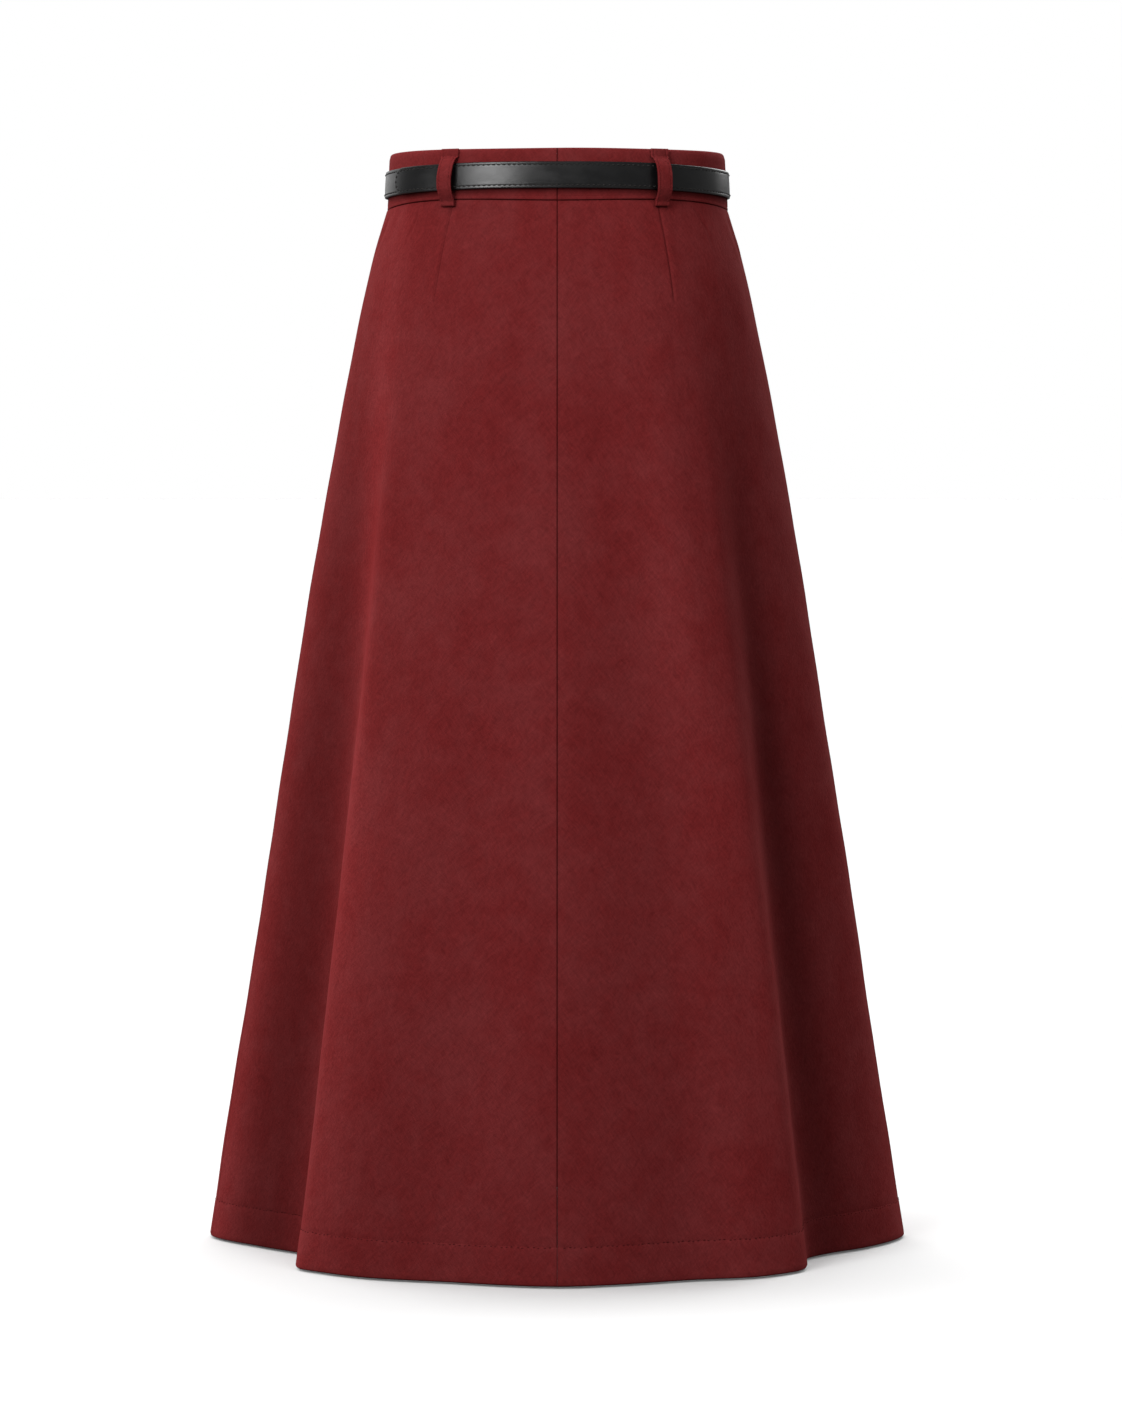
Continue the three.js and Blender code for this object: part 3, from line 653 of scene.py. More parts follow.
def strap(name, path, half):
    """A strip of leather carried along a path through its middle: round edges, a groove where it is
    stitched, which runs out where a round end narrows, and a face that is a little domed. half is
    its half width at each row of the path."""
    half = half[:, None]
    stitched = ease((half - GROOVE_FROM) / 0.3)
    a = np.radians([0, 18, 36, 54, 72, 90])
    inside = np.array([1.2, 1.6, 1.9, 2.1, EDGE_STITCH, 2.5, 2.7, 3.0, 3.5, 5.0, 7.5])
    at_edge, flat = np.zeros(len(a)), np.zeros(len(inside))
    from_edge = np.concatenate([0.8 * (1 - np.cos(a)), inside])
    sunk = np.concatenate([0.8 * (1 - np.sin(a)), flat])
    groove = np.concatenate([at_edge, 0.14 * bell((inside - EDGE_STITCH) / 0.42)])
    dome = np.concatenate([at_edge, 0.1 * ease((inside - 1.0) / 8)])
    up = mirrored(half * (1 - from_edge / HALF_BELT), 0.0, -1)
    front = mirrored(LEATHER / 2 - sunk + dome - groove * stitched, LEATHER / 2 + 0.1)
    back = mirrored(np.minimum(0.5, 0.6 * sunk), 0.0) - LEATHER / 2
    from_end = np.minimum(run_lengths(path, 0), run_lengths(path[::-1], 0)[::-1])
    thin = round_off(from_end, 0.7, 0.12)[:, None]
    levels = np.concatenate([front * thin, (back * thin)[:, ::-1]], 1)
    ups = np.concatenate([up, up[:, ::-1]], 1)
    paint = np.clip((np.abs(ups) - (half - 0.55)) / 0.35, 0, 1)
    return loft(name, along_path(path, levels, ups), pairs(run_lengths(path, 0)[:, None], ups), edge=paint)


def end_rows(end, towards, out):
    """Rows along a strap's round end, and their half widths: a half circle's chord."""
    angle = np.radians([4, 8, 14, 22, 31, 40, 50, 60, 70, 80, 90])
    return pairs(end + towards * HALF_BELT * (1 - np.cos(angle)), out), HALF_BELT * np.sin(angle)


def punch(along, radius, length, high):
    """A cutter through the belt, round or stretched along it, as two rings of points joined."""
    angle = (np.arange(32) + 0.5) / 32 * 2 * np.pi
    along = along + radius * np.cos(angle) + np.sign(np.cos(angle)) * (length / 2 - radius)
    rings = np.stack([on_belt(along, out, radius * np.sin(angle)) for out in (-1, high)])
    return loft("cutter", rings, np.zeros((2, 32, 2)))


def cut(piece, cutters):
    """Takes the cutters out of a piece for good."""
    for cutter in cutters:
        modifier = piece.modifiers.new("hole", "BOOLEAN")
        modifier.operation, modifier.solver, modifier.object = "DIFFERENCE", "EXACT", cutter
    bpy.context.view_layer.update()
    result = bpy.data.meshes.new_from_object(piece.evaluated_get(bpy.context.evaluated_depsgraph_get()))
    result.set_sharp_from_angle(angle=math.radians(HOLE_EDGE))
    piece.modifiers.clear()
    old, piece.data = piece.data, result
    for mesh in [old] + [cutter.data for cutter in cutters]:
        bpy.data.meshes.remove(mesh)  # a cutter goes with its mesh
    return piece


def back_strap_path():
    """From the lap's round end, round the back and the right side, under the buckle's tip bar, up
    through the frame, over the heel bar, and on top of the buckle strap to the tip."""
    start = LAP_AT - ROUND_WAIST
    foot = start + LAP_LENGTH + LAP_SLOPE
    first, first_half = end_rows(start, 1, HIGH)
    lap = slopes([(start + ROUND_END, HIGH), (start + LAP_LENGTH, HIGH), (foot, LOW), (foot + 6, LOW)], 1.0)
    round_ = slopes([(foot + 6, LOW), (-9.0, LOW)], 2.5)[1:]
    up = slopes([(-9.0, LOW), (-7.0, LOW), (HALF_BUCKLE - 1.7, OVER_BAR + LAYER)], 0.8)[1:]
    under = slopes(TOP_CORNERS, 1.0)
    over = under + path_normal(under) * LAYER
    over = over[(over[:, 0] > HALF_BUCKLE - 1.0) & (over[:, 0] < TAIL_LENGTH - ROUND_END)]
    last, last_half = end_rows(TAIL_LENGTH, -1, over[-1, 1])
    path = np.concatenate([first, lap, round_, up, over, last[::-1]])
    middle = slice(len(first) + 2, -len(last) - 2)
    path[middle, 1] = np.convolve(path[:, 1], [0.25, 0.5, 0.25], "same")[middle]
    full_width = np.full(len(path) - len(first) - len(last), HALF_BELT)
    return path, np.concatenate([first_half, full_width, last_half[::-1]])


def buckle_strap_path():
    """From its turned-back end, round the heel bar, over itself, and round the wearer's left side to
    an end under the lap."""
    turned = slopes([(TURNED_BACK_TO, LOW), (HALF_BUCKLE, LOW)], 1.0)
    angle = np.radians(np.linspace(-90, -270, 25)[1:-1])
    fold = pairs(HALF_BUCKLE + FOLD_RADIUS * np.cos(angle), BAR_OUT + FOLD_RADIUS * np.sin(angle))
    round_ = slopes([TOP_CORNERS[-1], (LAP_AT + LAP_LENGTH - 4, LOW)], 2.5)[1:]
    path = np.concatenate([turned, fold, slopes(TOP_CORNERS, 1.0), round_])
    return path, np.full(len(path), HALF_BELT)


# ---- Stitches ----

BELT_PITCH, BELT_STITCH = 3.9, 2.3
HEM_PITCH, HEM_STITCH = 4.0, 1.6
LOOP_PITCH, LOOP_STITCH = 2.6, 1.8
TACK_STITCH = 1.9


def stitches(name, lines, radius, bow):
    """Short lengths of thread, each a round section carried from its start to its end along a shallow
    arc that rises by bow and whose ends sink out of sight. A line is its stitches' starts, ends and
    normals."""
    starts, ends, normals = (np.concatenate(v)[:, None] for v in zip(*lines))
    thick = radius * np.array([0.55, 0.95, 1.0, 0.95, 0.55])[:, None, None]
    rings, sides = len(thick), 6
    t = np.linspace(0, 1, rings)[:, None]
    line = starts * (1 - t) + ends * t + normals * (bow * (1 - (2 * t - 1) ** 2) - bow * 0.6)
    aside = np.cross(unit(ends - starts), normals)[:, None]
    angle = ((np.arange(sides) + 0.5) / sides * 2 * np.pi)[:, None]
    points = line[:, :, None] + (aside * np.cos(angle) + normals[:, None] * np.sin(angle)) * thick
    one = tube_faces(rings, sides)
    faces = one + (np.arange(len(starts)) * rings * sides)[:, None, None]
    return make_mesh(name, points.reshape(-1, 3), faces.reshape(-1, 4))


def hem_stitches(name, start, end):
    """Blind stitches where the hem is turned up: one short prick of thread each HEM_PITCH."""
    fine = np.linspace(start + 0.8, end - 0.8, 2000)
    z_line = HEM_Z + HEM_DEPTH
    run = run_lengths(body_point(fine, z_line), 0)
    n = np.arange(int(run[-1] / HEM_PITCH))
    s = (n + 0.5) * run[-1] / len(n) + 0.5 * np.sin(n * 2.4)
    z = z_line + 0.35 * np.sin(n * 1.7) + 0.5 * np.sin(s / 60)

    def normal_at(shift):
        turn = np.interp(s + shift, run, fine)
        return turn, unit(flat_normal(body_point, turn, z))

    def at(shift):
        turn, normal = normal_at(shift)
        return cloth_point(turn, z + shift * 0.15) + normal * 0.08

    line = at(-HEM_STITCH / 2), at(HEM_STITCH / 2), normal_at(0)[1]
    return stitches(name, [line], radius=0.3, bow=0.16)


def loop_stitches(place):
    """The two lines of edge stitching down a loop and the tack across its top."""
    half = LOOP_WIDTH / 2
    z = np.arange(12.4, -19, -LOOP_PITCH)
    lines = []

    def at(across, z):
        return off(band_point, loop_turn(place, across), z, loop_faces(z)[1] - 0.05)

    for side in (-1, 1):
        across = side * (half - LOOP_EDGE_STITCH) * loop_share(z)
        aside, above = at(across + 0.5, z) - at(across, z), at(across, z + 0.5) - at(across, z)
        ends = at(across, z + LOOP_STITCH / 2), at(across, z - LOOP_STITCH / 2)
        lines.append((*ends, unit(np.cross(aside, above))))
    across = np.linspace(-half + 1.6, half - 1.6, 5)
    z = np.full(5, LOOP_TACK_Z)
    ends = at(across - TACK_STITCH / 2, z), at(across + TACK_STITCH / 2, z)
    lines.append((*ends, unit(flat_normal(band_point, loop_turn(place, across), z))))
    return stitches("loop_stitches_" + place, lines, radius=0.2, bow=0.16)


def belt_stitches(name, path, ways):
    """Edge stitching on a strap. Its ways are paths of (along, up), and the height of the leather's
    face over the band comes from the strap's path."""
    top = path + path_normal(path) * (LEATHER / 2)
    top = top[np.maximum.accumulate(top[:, 0]) <= top[:, 0]]
    lines = []
    for way in ways:
        run = run_lengths(way, 0)
        count = int(run[-1] // BELT_PITCH)
        s = (np.arange(count) + 0.5) * run[-1] / count

        def at(shift, lifted=0):
            along, up = (np.interp(s + shift, run, values) for values in way.T)
            return on_belt(along, np.interp(along, *top.T) + lifted, up)

        lines.append((at(-BELT_STITCH / 2), at(BELT_STITCH / 2), unit(at(0, 1) - at(0))))
    return stitches(name, lines, radius=0.5, bow=0.3)


def stitched_ways(start, end, round_ends):
    """Where a strap is stitched: along both edges, in one way with half circles if its ends are round."""
    inset = HALF_BELT - EDGE_STITCH
    set_back = HALF_BELT if round_ends else 0
    upper = pairs(np.linspace(end - set_back, start + set_back, 400), inset)
    lower = upper[::-1] * (1, -1)
    if not round_ends:
        return [upper, lower]
    angle = np.radians(np.linspace(90, 270, 40))
    half_circle = inset * pairs(np.cos(angle), np.sin(angle))
    at_start, at_end = upper[-1] * (1, 0) + half_circle, upper[0] * (1, 0) + half_circle[::-1] * (-1, 1)
    return [np.concatenate([upper, at_start, lower, at_end])]


# ---- Buckle and keeper ----


def rounded_rectangle(half_x, half_y, radius, step):
    """A closed path of (x, y) with outward normals, and the length run: four quarter circles joined
    by straight sides."""
    signs = np.repeat([(1, 1), (-1, 1), (-1, -1), (1, -1)], 13, axis=0)
    angle = np.radians(np.add.outer([0, 90, 180, 270], np.linspace(0, 90, 13))).ravel()
    normals = pairs(np.cos(angle), np.sin(angle))
    points = signs * (half_x - radius, half_y - radius) + radius * normals
    closed, closed_n = (np.concatenate([v, v[:1]]) for v in (points, normals))
    run = run_lengths(closed, 0)
    even = np.linspace(0, run[-1], int(run[-1] / step), endpoint=False)
    s = np.unique(np.concatenate([run[:-1], even]))
    s = s[np.concatenate([[True], np.diff(s) > 0.02])]
    at, n = (pairs(*(np.interp(s, run, values) for values in v.T)) for v in (closed, closed_n))
    return at, unit(n), s[:, None]


def buckle_frame():
    """A round wire carried along a rounded rectangle that follows the belt's curve."""
    at, n, s = rounded_rectangle(HALF_BUCKLE, (BUCKLE_HEIGHT - WIRE) / 2, BUCKLE_CORNER, 0.8)
    angle = np.arange(24) / 24 * 2 * np.pi
    aside, out = WIRE / 2 * np.cos(angle), BAR_OUT + WIRE / 2 * np.sin(angle)
    points = on_belt(at[:, :1] + n[:, :1] * aside, out, at[:, 1:] + n[:, 1:] * aside)
    return loft("buckle_wire", points, pairs(s, angle * WIRE / 2), endless=True)


def buckle_prong():
    """A bent wire: nearly a full turn round the heel bar, then straight across to the tip bar. Its
    section is a rounded oblong that tapers at the point."""
    radius = WIRE / 2 + SEAM_GAP + PRONG_THICKNESS / 2
    angle = np.radians(np.linspace(200, 450, 50))
    hinge = pairs(HALF_BUCKLE + radius * np.cos(angle), BAR_OUT + radius * np.sin(angle))
    tip = -HALF_BUCKLE - WIRE / 2 - 1.4
    along = np.concatenate([np.linspace(HALF_BUCKLE - 0.5, tip + 3, 30), np.linspace(tip + 2.7, tip, 12)])
    path = np.concatenate([hinge, pairs(along, BAR_OUT + radius)])
    point = 0.85 * np.sqrt(1 - np.linspace(0.05, 0.985, 12) ** 2) + 0.12
    taper = np.concatenate([(0.55, 0.85), np.ones(len(path) - 2 - len(point)), point])[:, None]
    angle = (np.arange(20) + 0.5) / 20 * 2 * np.pi
    c, s = np.cos(angle), np.sin(angle)
    wide = np.sign(c) * np.abs(c) ** 0.65 * PRONG_WIDTH / 2
    thick = np.sign(s) * np.abs(s) ** 0.65 * PRONG_THICKNESS / 2
    points = along_path(path, thick * (0.6 + 0.4 * taper), wide * taper)
    return loft("buckle_pin", points, pairs(run_lengths(path, 0)[:, None], angle))


def keeper():
    """A leather ring round both straps: an oblong section with round edges and a low crown, carried
    round a rounded rectangle."""
    around = KEEPER_LEATHER / 2 + SEAM_GAP
    at, n, s = rounded_rectangle(HALF_BELT + around, (LAYER + LEATHER) / 2 + around, 1.0, 0.7)
    a = np.radians([0, 22, 45, 67, 90])
    r, half = 0.45, KEEPER_LEATHER / 2
    edge, flat = KEEPER_WIDTH / 2 - r + r * np.cos(a), np.linspace(3.0, -3.0, 7)
    rounded, crown = half - r + r * np.sin(a), half + 0.14 * (1 - (flat / 3.4) ** 2)
    wide = np.concatenate([edge, flat, -edge[::-1]])
    deep = np.concatenate([rounded, crown, rounded[::-1]])
    aside, depth = np.concatenate([wide, wide[::-1]]), np.concatenate([deep, -np.minimum(deep, half)[::-1]])
    out = HIGH + LAYER / 2 + at[:, 1:] + n[:, 1:] * depth
    points = on_belt(KEEPER_AT + aside, out, at[:, :1] + n[:, :1] * depth)
    paint = np.clip((np.abs(aside) - 3.5) / 0.35, 0, 1)
    return loft("keeper_leather", points, pairs(s, aside), endless=True, edge=paint)


# ---- Materials ----


def feed(node, inputs):
    """Gives each of a node's inputs its value, or joins it to another node's output."""
    for key, value in inputs.items():
        if isinstance(value, bpy.types.NodeSocket):
            node.id_data.links.new(value, node.inputs[key])
        else:
            node.inputs[key].default_value = value


def add(kind, inputs, **settings):
    """The outputs of a new node, in the tree of the outputs that it is joined to."""
    tree = next(value.id_data for value in inputs.values() if isinstance(value, bpy.types.NodeSocket))
    node = tree.nodes.new("ShaderNode" + kind)
    for key, value in settings.items():
        setattr(node, key, value)
    feed(node, inputs)
    return node.outputs


def maths(operation, *values):
    return add("Math", dict(enumerate(values)), operation=operation)[0]


def plus(first, second):
    return maths("ADD", first, second)


def minus(first, second):
    return maths("SUBTRACT", first, second)


def times(first, second):
    return maths("MULTIPLY", first, second)


def weighted(first, share, second, other_share):
    return plus(times(first, share), times(second, other_share))


def spread(value, low, high, to_low, to_high):
    """A value from one range mapped onto another, smoothly, and held inside it."""
    inputs = {"Value": value, "From Min": low, "From Max": high, "To Min": to_low, "To Max": to_high}
    return add("MapRange", inputs, interpolation_type="SMOOTHSTEP")["Result"]


def shade(colour, factor):
    """A colour times a value."""
    return add("VectorMath", {0: colour, "Scale": factor}, operation="SCALE")[0]


def noise(vector, scale, detail=2.0, rough=0.5, stretch=(1, 1, 1), turn=(0, 0, 0)):
    """Noise over a vector that is first turned and then stretched."""
    inputs = {"Vector": vector, "Scale": [1 / s for s in stretch], "Rotation": np.radians(turn)}
    place = add("Mapping", inputs, vector_type="TEXTURE")[0]
    return add("TexNoise", {"Vector": place, "Scale": scale, "Detail": detail, "Roughness": rough})["Fac"]


def bump(height, strength, distance, **before):
    return add("Bump", {"Height": height, "Strength": strength, "Distance": distance} | before)[0]


def place_in(tree, space="Object"):
    return tree.nodes.new("ShaderNodeTexCoord").outputs[space]


def attribute(tree, name):
    node = tree.nodes.new("ShaderNodeAttribute")
    node.attribute_name = name
    return node.outputs["Fac"]


def group(name, inputs, outputs):
    """A shared node group: the outputs of its input node, and its output node. An input has a value to
    start from, or None for a vector, and an output has its kind."""
    tree = bpy.data.node_groups.new(name, "ShaderNodeTree")
    for key, value in inputs.items():
        kind = "Vector" if value is None else "Float" if isinstance(value, float) else "Color"
        socket = tree.interface.new_socket(key, in_out="INPUT", socket_type="NodeSocket" + kind)
        if value is not None:
            socket.default_value = value
    for key, kind in outputs.items():
        tree.interface.new_socket(key, in_out="OUTPUT", socket_type="NodeSocket" + kind)
    return tree.nodes.new("NodeGroupInput").outputs, tree.nodes.new("NodeGroupOutput")


def use(name, **inputs):
    return add("Group", inputs, node_tree=bpy.data.node_groups[name])


def make_nap():
    """Brushed cloth: clouds where the nap lies this way or that, small patches, and two layers of long
    thin curling fibres. Puts out the colour between its plain and its brushed tone, shaded, and a
    height."""
    tones = {"Plain": (0.12, 0.01, 0.01, 1), "Brushed": (0.12, 0.02, 0.02, 1), "Place": None}
    amounts = {"Clouds": 0.25, "Patches": 0.25, "Fibre": 0.5}
    given, result = group("nap", tones | amounts, {"Colour": "Color", "Height": "Float"})
    place = given["Place"]
    curl = add("TexNoise", {"Vector": place, "Scale": 55.0, "Detail": 2.0})["Color"]
    curled = add("VectorMath", {0: curl, 1: (0.007, 0.007, 0.007), 2: place}, operation="MULTIPLY_ADD")[0]
    clouds = noise(place, 17.0, 3.0, 0.55, stretch=(1.0, 1.0, 0.8))
    patches = noise(place, 70.0, 3.0, 0.6)
    fibres = noise(curled, 620.0, 2.0, 0.6, stretch=(1.0, 1.0, 0.16), turn=(0, 42, 0))
    crossing = noise(curled, 700.0, 2.0, 0.6, stretch=(1.0, 1.0, 0.14), turn=(0, -36, 0))
    pile = noise(place, 1500.0, 2.0, 0.6)
    lines = plus(plus(fibres, crossing), times(pile, 0.6))
    total = 1.0
    for value, middle, amount in ((clouds, 0.5, "Clouds"), (patches, 0.5, "Patches"), (lines, 1.3, "Fibre")):
        total = plus(total, times(minus(value, middle), given[amount]))
    tone = spread(weighted(clouds, 0.6, patches, 0.4), 0.3, 0.7, 0.0, 1.0)
    blend = add("Mix", {"Factor": tone, 6: given["Plain"], 7: given["Brushed"]}, data_type="RGBA")[2]
    feed(result, {"Colour": shade(blend, total), "Height": lines})


def make_twill():
    """A twill's slanting ribs in the cloth's own coordinates: a sine across the slant, broken up by a
    second sine along it. Puts out a height."""
    given, result = group("twill", {"Cloth": None, "Rib": 0.0009}, {"Height": "Float"})
    u, v = add("SeparateXYZ", {0: given["Cloth"]})[:2]
    slant = maths("DIVIDE", weighted(u, 0.8, v, 0.6), given["Rib"])
    across = maths("DIVIDE", weighted(v, 0.8, u, -0.6), given["Rib"])
    ribs, floats = (maths("SINE", times(*v)) for v in ((slant, 2 * math.pi), (across, 2 * math.pi / 2.5)))
    feed(result, {"Height": plus(ribs, times(floats, 0.4))})


def make_rub():
    """What handling leaves: 0 to 1, most along an edge and broken up by noise."""
    given, result = group("edge_rub", {"Place": None, "Edge": 0.0, "Grain": 400.0}, {"Rub": "Float"})
    texture = add("TexNoise", {"Vector": given["Place"], "Scale": given["Grain"], "Detail": 3.0})
    feed(result, {"Rub": times(spread(texture["Fac"], 0.4, 0.62, 0.0, 1.0), given["Edge"])})


def make_leather_grain():
    """Fine pebbles between narrow furrows, with broad smudges. Puts out a height and a smudge."""
    inputs, outputs = {"Place": None, "Pebble": 1500.0}, {"Height": "Float", "Smudge": "Float"}
    given, result = group("leather_grain", inputs, outputs)
    inputs = {"Vector": given["Place"], "Scale": given["Pebble"]}
    furrow = add("TexVoronoi", inputs, feature="DISTANCE_TO_EDGE")["Distance"]
    fine = noise(given["Place"], 3200.0)
    slow = noise(given["Place"], 55.0, 3.0, 0.6, stretch=(1, 1, 2))
    height = plus(spread(furrow, 0.0, 0.28, 0.0, 1.0), times(fine, 0.5))
    feed(result, {"Height": height, "Smudge": spread(slow, 0.35, 0.68, 0.0, 1.0)})


def make_thread_twist():
    """The slanting plies of a thread: a fine wave. Puts out a height."""
    given, result = group("thread_twist", {"Place": None}, {"Height": "Float"})
    inputs = {"Vector": given["Place"], "Scale": 900.0, "Distortion": 1.0}
    feed(result, {"Height": add("TexWave", inputs, bands_direction="DIAGONAL")["Fac"]})


def start_material(name, viewport):
    made = bpy.data.materials.new(name)
    made.use_nodes = True
    made.diffuse_color = (*viewport, 1)
    tree = made.node_tree
    tree.nodes.clear()
    shader = tree.nodes.new("ShaderNodeBsdfPrincipled")
    add("OutputMaterial", {"Surface": shader.outputs["BSDF"]})
    return made, tree, shader


def cloth_material(name):
    """Wine red brushed twill: nap and twill relief, shade painted down in the seams and darts, a little
    rubbed and lighter beside them, shade and highlight painted along the folds and a shadow painted
    under the belt, and duller on the inside."""
    made, tree, shader = start_material(name, (0.4, 0.15, 0.16))
    plain, brushed = (0.120, 0.0122, 0.0128, 1), (0.118, 0.0168, 0.0176, 1)
    nap = use("nap", Plain=plain, Brushed=brushed, Place=place_in(tree))
    twill = use("twill", Cloth=place_in(tree, "UV"))
    seam = attribute(tree, "from_seam")
    beside = times(spread(seam, 1.6, 2.4, 0.0, 1.0), spread(seam, 3.0, 7.0, 1.0, 0.0))
    # Shade painted into the cloth down in the seams and darts, and a little rubbed wear lighter beside them.
    tint = times(spread(seam, 0.0, 0.8, 0.42, 1.0), plus(1.0, times(beside, 0.035)))
    # Shade painted into fold valleys and under the belt, and highlight painted on fold crests.
    tint = times(tint, attribute(tree, "nap"))
    tint = times(tint, spread(attribute(tree, "face"), 0.1, 0.6, 0.82, 1.0))
    feed(shader, {
        "Base Color": shade(nap["Colour"], tint), "Roughness": 0.88, "Specular IOR Level": 0.02,
        "Sheen Weight": 0.05, "Sheen Roughness": 0.5, "Sheen Tint": (0.8, 0.1, 0.1, 1),
        "Normal": bump(nap["Height"], 0.30, 0.0006, Normal=bump(twill["Height"], 0.10, 0.0002)),
    })
    return made


def thread_material(name, colour, roughness):
    made, tree, shader = start_material(name, colour)
    twist = use("thread_twist", Place=place_in(tree))["Height"]
    feed(shader, {
        "Base Color": shade(colour, spread(twist, 0.0, 1.0, 0.75, 1.15)),
        "Roughness": roughness, "Specular IOR Level": 0.02, "Normal": bump(twist, 0.4, 0.0001),
    })
    return made


def leather_material(name):
    """Black satin leather: fine grain, smudged gloss, edges sealed with duller paint."""
    made, tree, shader = start_material(name, (0.03, 0.03, 0.03))
    place, edge = place_in(tree), attribute(tree, "edge")
    grain, rub = use("leather_grain", Place=place), use("edge_rub", Place=place, Edge=edge)["Rub"]
    tone = plus(spread(grain["Smudge"], 0.0, 1.0, 0.85, 1.2), times(rub, 0.8))
    height = times(grain["Height"], minus(1.0, times(edge, 0.8)))
    feed(shader, {
        "Base Color": shade((0.0036, 0.0036, 0.0038), tone), "Specular IOR Level": 0.5,
        "Roughness": plus(spread(grain["Smudge"], 0.0, 1.0, 0.29, 0.35), times(edge, 0.10)),
        "Normal": bump(height, 0.045, 0.0002),
    })
    return made


def metal_material(name):
    """Pale brushed metal: fine scratches along the wire and a dulled, uneven gloss."""
    made, tree, shader = start_material(name, (0.7, 0.69, 0.66))
    place = place_in(tree)
    dulled = times(use("edge_rub", Place=place, Edge=1.0, Grain=240.0)["Rub"], 0.08)
    scratches = noise(place, 1300.0, 4.0, 0.7, stretch=(0.25, 1, 1.6))
    tone = minus(spread(scratches, 0.3, 0.7, 0.9, 1.06), dulled)
    feed(shader, {
        "Base Color": shade((0.56, 0.54, 0.5), tone), "Metallic": 1.0,
        "Roughness": plus(spread(scratches, 0.3, 0.7, 0.16, 0.3), dulled),
        "Normal": bump(scratches, 0.15, 0.0001),
    })
    return made


for make_group in (make_nap, make_twill, make_rub, make_leather_grain, make_thread_twist):
    make_group()
brushed_cloth = cloth_material("brushed_twill")
cloth_thread = thread_material("wine_thread", (0.14, 0.019, 0.02), 0.8)
hem_thread = thread_material("dark_wine_thread", (0.062, 0.008, 0.0085), 0.85)
belt_thread = thread_material("black_thread", (0.030, 0.028, 0.027), 0.9)
black_leather = leather_material("satin_leather")
pale_metal = metal_material("brushed_metal")

# ---- The pieces, in place ----


def dress(piece, material, slot, *nodes):
    piece.data.materials.append(material)
    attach(piece, "root")
    if nodes:
        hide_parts(*nodes)
    return piece


def dress_strap(which, path, half, holes, ways):
    """A strap of the belt with its holes cut, and the stitching along its ways."""
    leather = cut(strap("belt_" + which + "_leather", path, half), holes)
    dress(leather, black_leather, "belt_leather", "belt_" + which + "_strap")
    dress(belt_stitches("belt_" + which + "_stitches", path, ways), belt_thread, "belt_leather")


for node, start, end, columns, flat, area in (
    ("back_left", -SIDE_SEAM, 0.0, 118, (0.42, 0.83), 0.236),
    ("back_right", 0.0, SIDE_SEAM, 118, (0.42, 0.83), 0.234),
    ("front", SIDE_SEAM, 360 - SIDE_SEAM, 150, (0.86, 0.83), 0.494),
):
    piece = dress(panel("cloth_" + node, start, end, columns), brushed_cloth, "cloth", node)
    thread = dress(hem_stitches("hem_stitches_" + node, start, end), hem_thread, "cloth")

band = dress(waistband(), brushed_cloth, "cloth", "waistband")
for place in LOOP_TURNS:
    loop = dress(belt_loop(place), brushed_cloth, "cloth", "belt_loop_" + place)
    thread = dress(loop_stitches(place), cloth_thread, "cloth")

holes = [punch(HOLE_AT, PRONG_SLOT, TIP_SLOT, 2 * OVER_BAR)]
for k in (-2, -1, 1, 2):
    holes.append(punch(HOLE_AT + k * HOLE_SPACING, HOLE_RADIUS, 2 * HOLE_RADIUS, 2 * OVER_BAR))
dress_strap("back", *back_strap_path(), holes, stitched_ways(LAP_AT - ROUND_WAIST, TAIL_LENGTH, True))
slot = punch(HALF_BUCKLE, PRONG_SLOT, HEEL_SLOT, OVER_BAR + 2)
ways = stitched_ways(HALF_BUCKLE + 12, LAP_AT + LAP_LENGTH - 6, False)
dress_strap("buckle", *buckle_strap_path(), [slot], ways)

dress(keeper(), black_leather, "belt_leather", "belt_keeper")
dress(buckle_frame(), pale_metal, "buckle_metal", "buckle_frame")
dress(buckle_prong(), pale_metal, "buckle_metal", "buckle_prong")

# ---- Floor and lights ----

WHITE = (1, 1, 1, 1)
AIM = np.array([0, 0, -0.4])  # of the area lights, in metres
WORLD_LIGHT, WORLD_GLOSS = 0.07, 0.15
FLOOR_GAP, FLOOR_REACH = 1.6, 40  # in millimetres, and in metres


def make_floor():
    """A wide plain floor just under the hem."""
    x, z = FLOOR_REACH, (HEM_Z - FLOOR_GAP) * MM
    mesh = bpy.data.meshes.new("floor")
    mesh.from_pydata([(-x, -x, z), (x, -x, z), (x, x, z), (-x, x, z)], [], [(0, 1, 2, 3)])
    floor = new_object("floor", mesh)
    made, tree, shader = start_material("pale_floor", (0.9, 0.9, 0.9))
    tone = spread(noise(place_in(tree), 3.0), 0.3, 0.7, 0.88, 0.9)
    feed(shader, {
        "Base Color": shade((0.57, 0.57, 0.57), tone), "Roughness": 0.9, "Specular IOR Level": 0.0,
        "Emission Color": WHITE, "Emission Strength": 0.08,
    })
    mesh.materials.append(made)
    floor.visible_diffuse = floor.visible_glossy = False


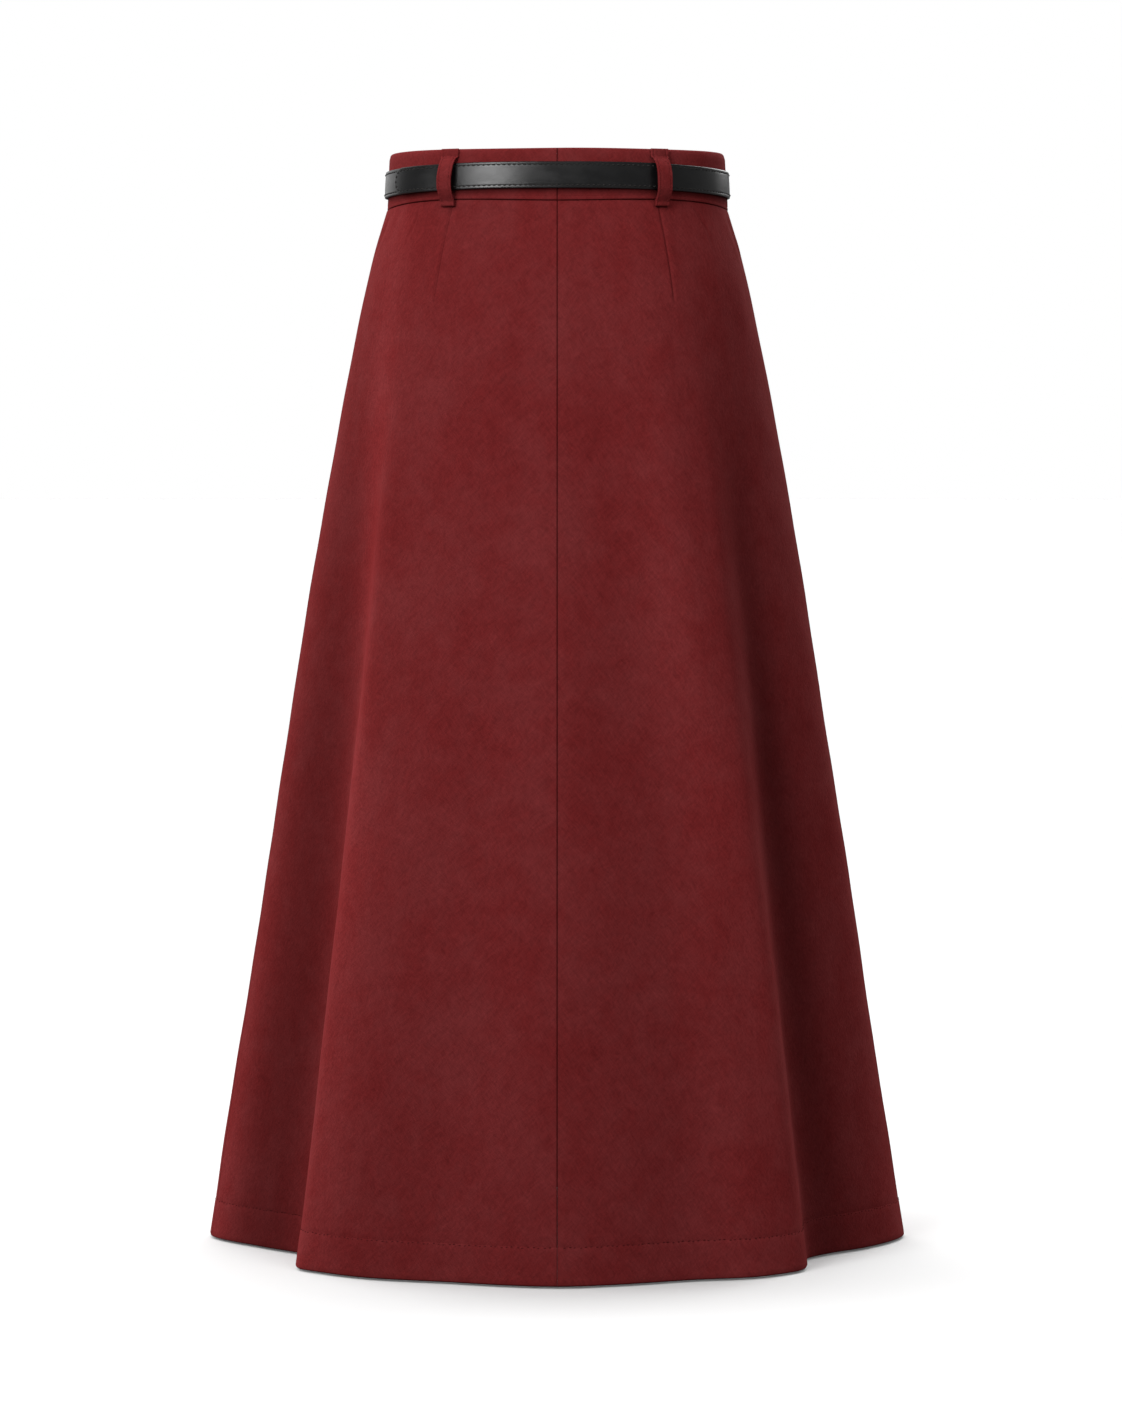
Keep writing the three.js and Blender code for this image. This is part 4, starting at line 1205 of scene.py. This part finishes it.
def make_light(name, kind, energy, glossy, **settings):
    data = bpy.data.lights.new(name, kind)
    data.energy = energy
    for key, value in settings.items():
        setattr(data, key, value)
    light = new_object(name, data)
    light.visible_glossy = glossy
    return light


def area_light(name, place, size, power, glossy=True):
    light = make_light(name, "AREA", power, glossy, shape="RECTANGLE", size=size[0], size_y=size[1])
    light.location = place
    way = AIM - place
    light.rotation_euler = (math.atan2(math.hypot(way[0], way[1]), -way[2]), 0, math.atan2(-way[0], way[1]))


def sun_light(name, turn, height, width, strength, glossy=True):
    """Even light from one side: turn as on the skirt, height and width in degrees."""
    light = make_light(name, "SUN", strength, glossy, angle=math.radians(width))
    light.rotation_euler = (math.radians(90 - height), 0, math.radians(turn))


def make_world():
    """White all round to look at, and a softer, even grey as light, a little brighter in a gloss."""
    world = bpy.data.worlds.new("studio")
    bpy.context.scene.world = world
    world.use_nodes = True
    nodes = world.node_tree.nodes
    nodes.clear()
    rays, seen = nodes.new("ShaderNodeLightPath").outputs, nodes.new("ShaderNodeBackground")
    feed(seen, {"Color": WHITE, "Strength": 1.0})
    strength = maths("MULTIPLY_ADD", rays["Is Glossy Ray"], WORLD_GLOSS, WORLD_LIGHT)
    light = add("Background", {"Color": WHITE, "Strength": strength})[0]
    mix = add("MixShader", {"Fac": rays["Is Camera Ray"], 1: light, 2: seen.outputs[0]})[0]
    add("OutputWorld", {"Surface": mix})


make_floor()
make_world()
area_light("key", (-0.957, -1.64, 0.6), (0.85, 1.3), 33)
area_light("key_soft", (-1.10, -1.55, 0.6), (0.9, 1.3), 7, glossy=False)
area_light("front_fill", (0.98, -1.63, 0.6), (1.4, 1.3), 16, glossy=False)
sun_light("far_left", -145, 25, 60, 0.6)
sun_light("far_left_soft", -120, 25, 60, 2.7, glossy=False)
sun_light("far_right", 145, 30, 45, 2.0)
sun_light("overhead", 0, 90, 75, 0.9, glossy=False)
sun_light("behind", 180, 52, 60, 3.0, glossy=False)
bpy.context.scene.view_settings.view_transform = "Standard"
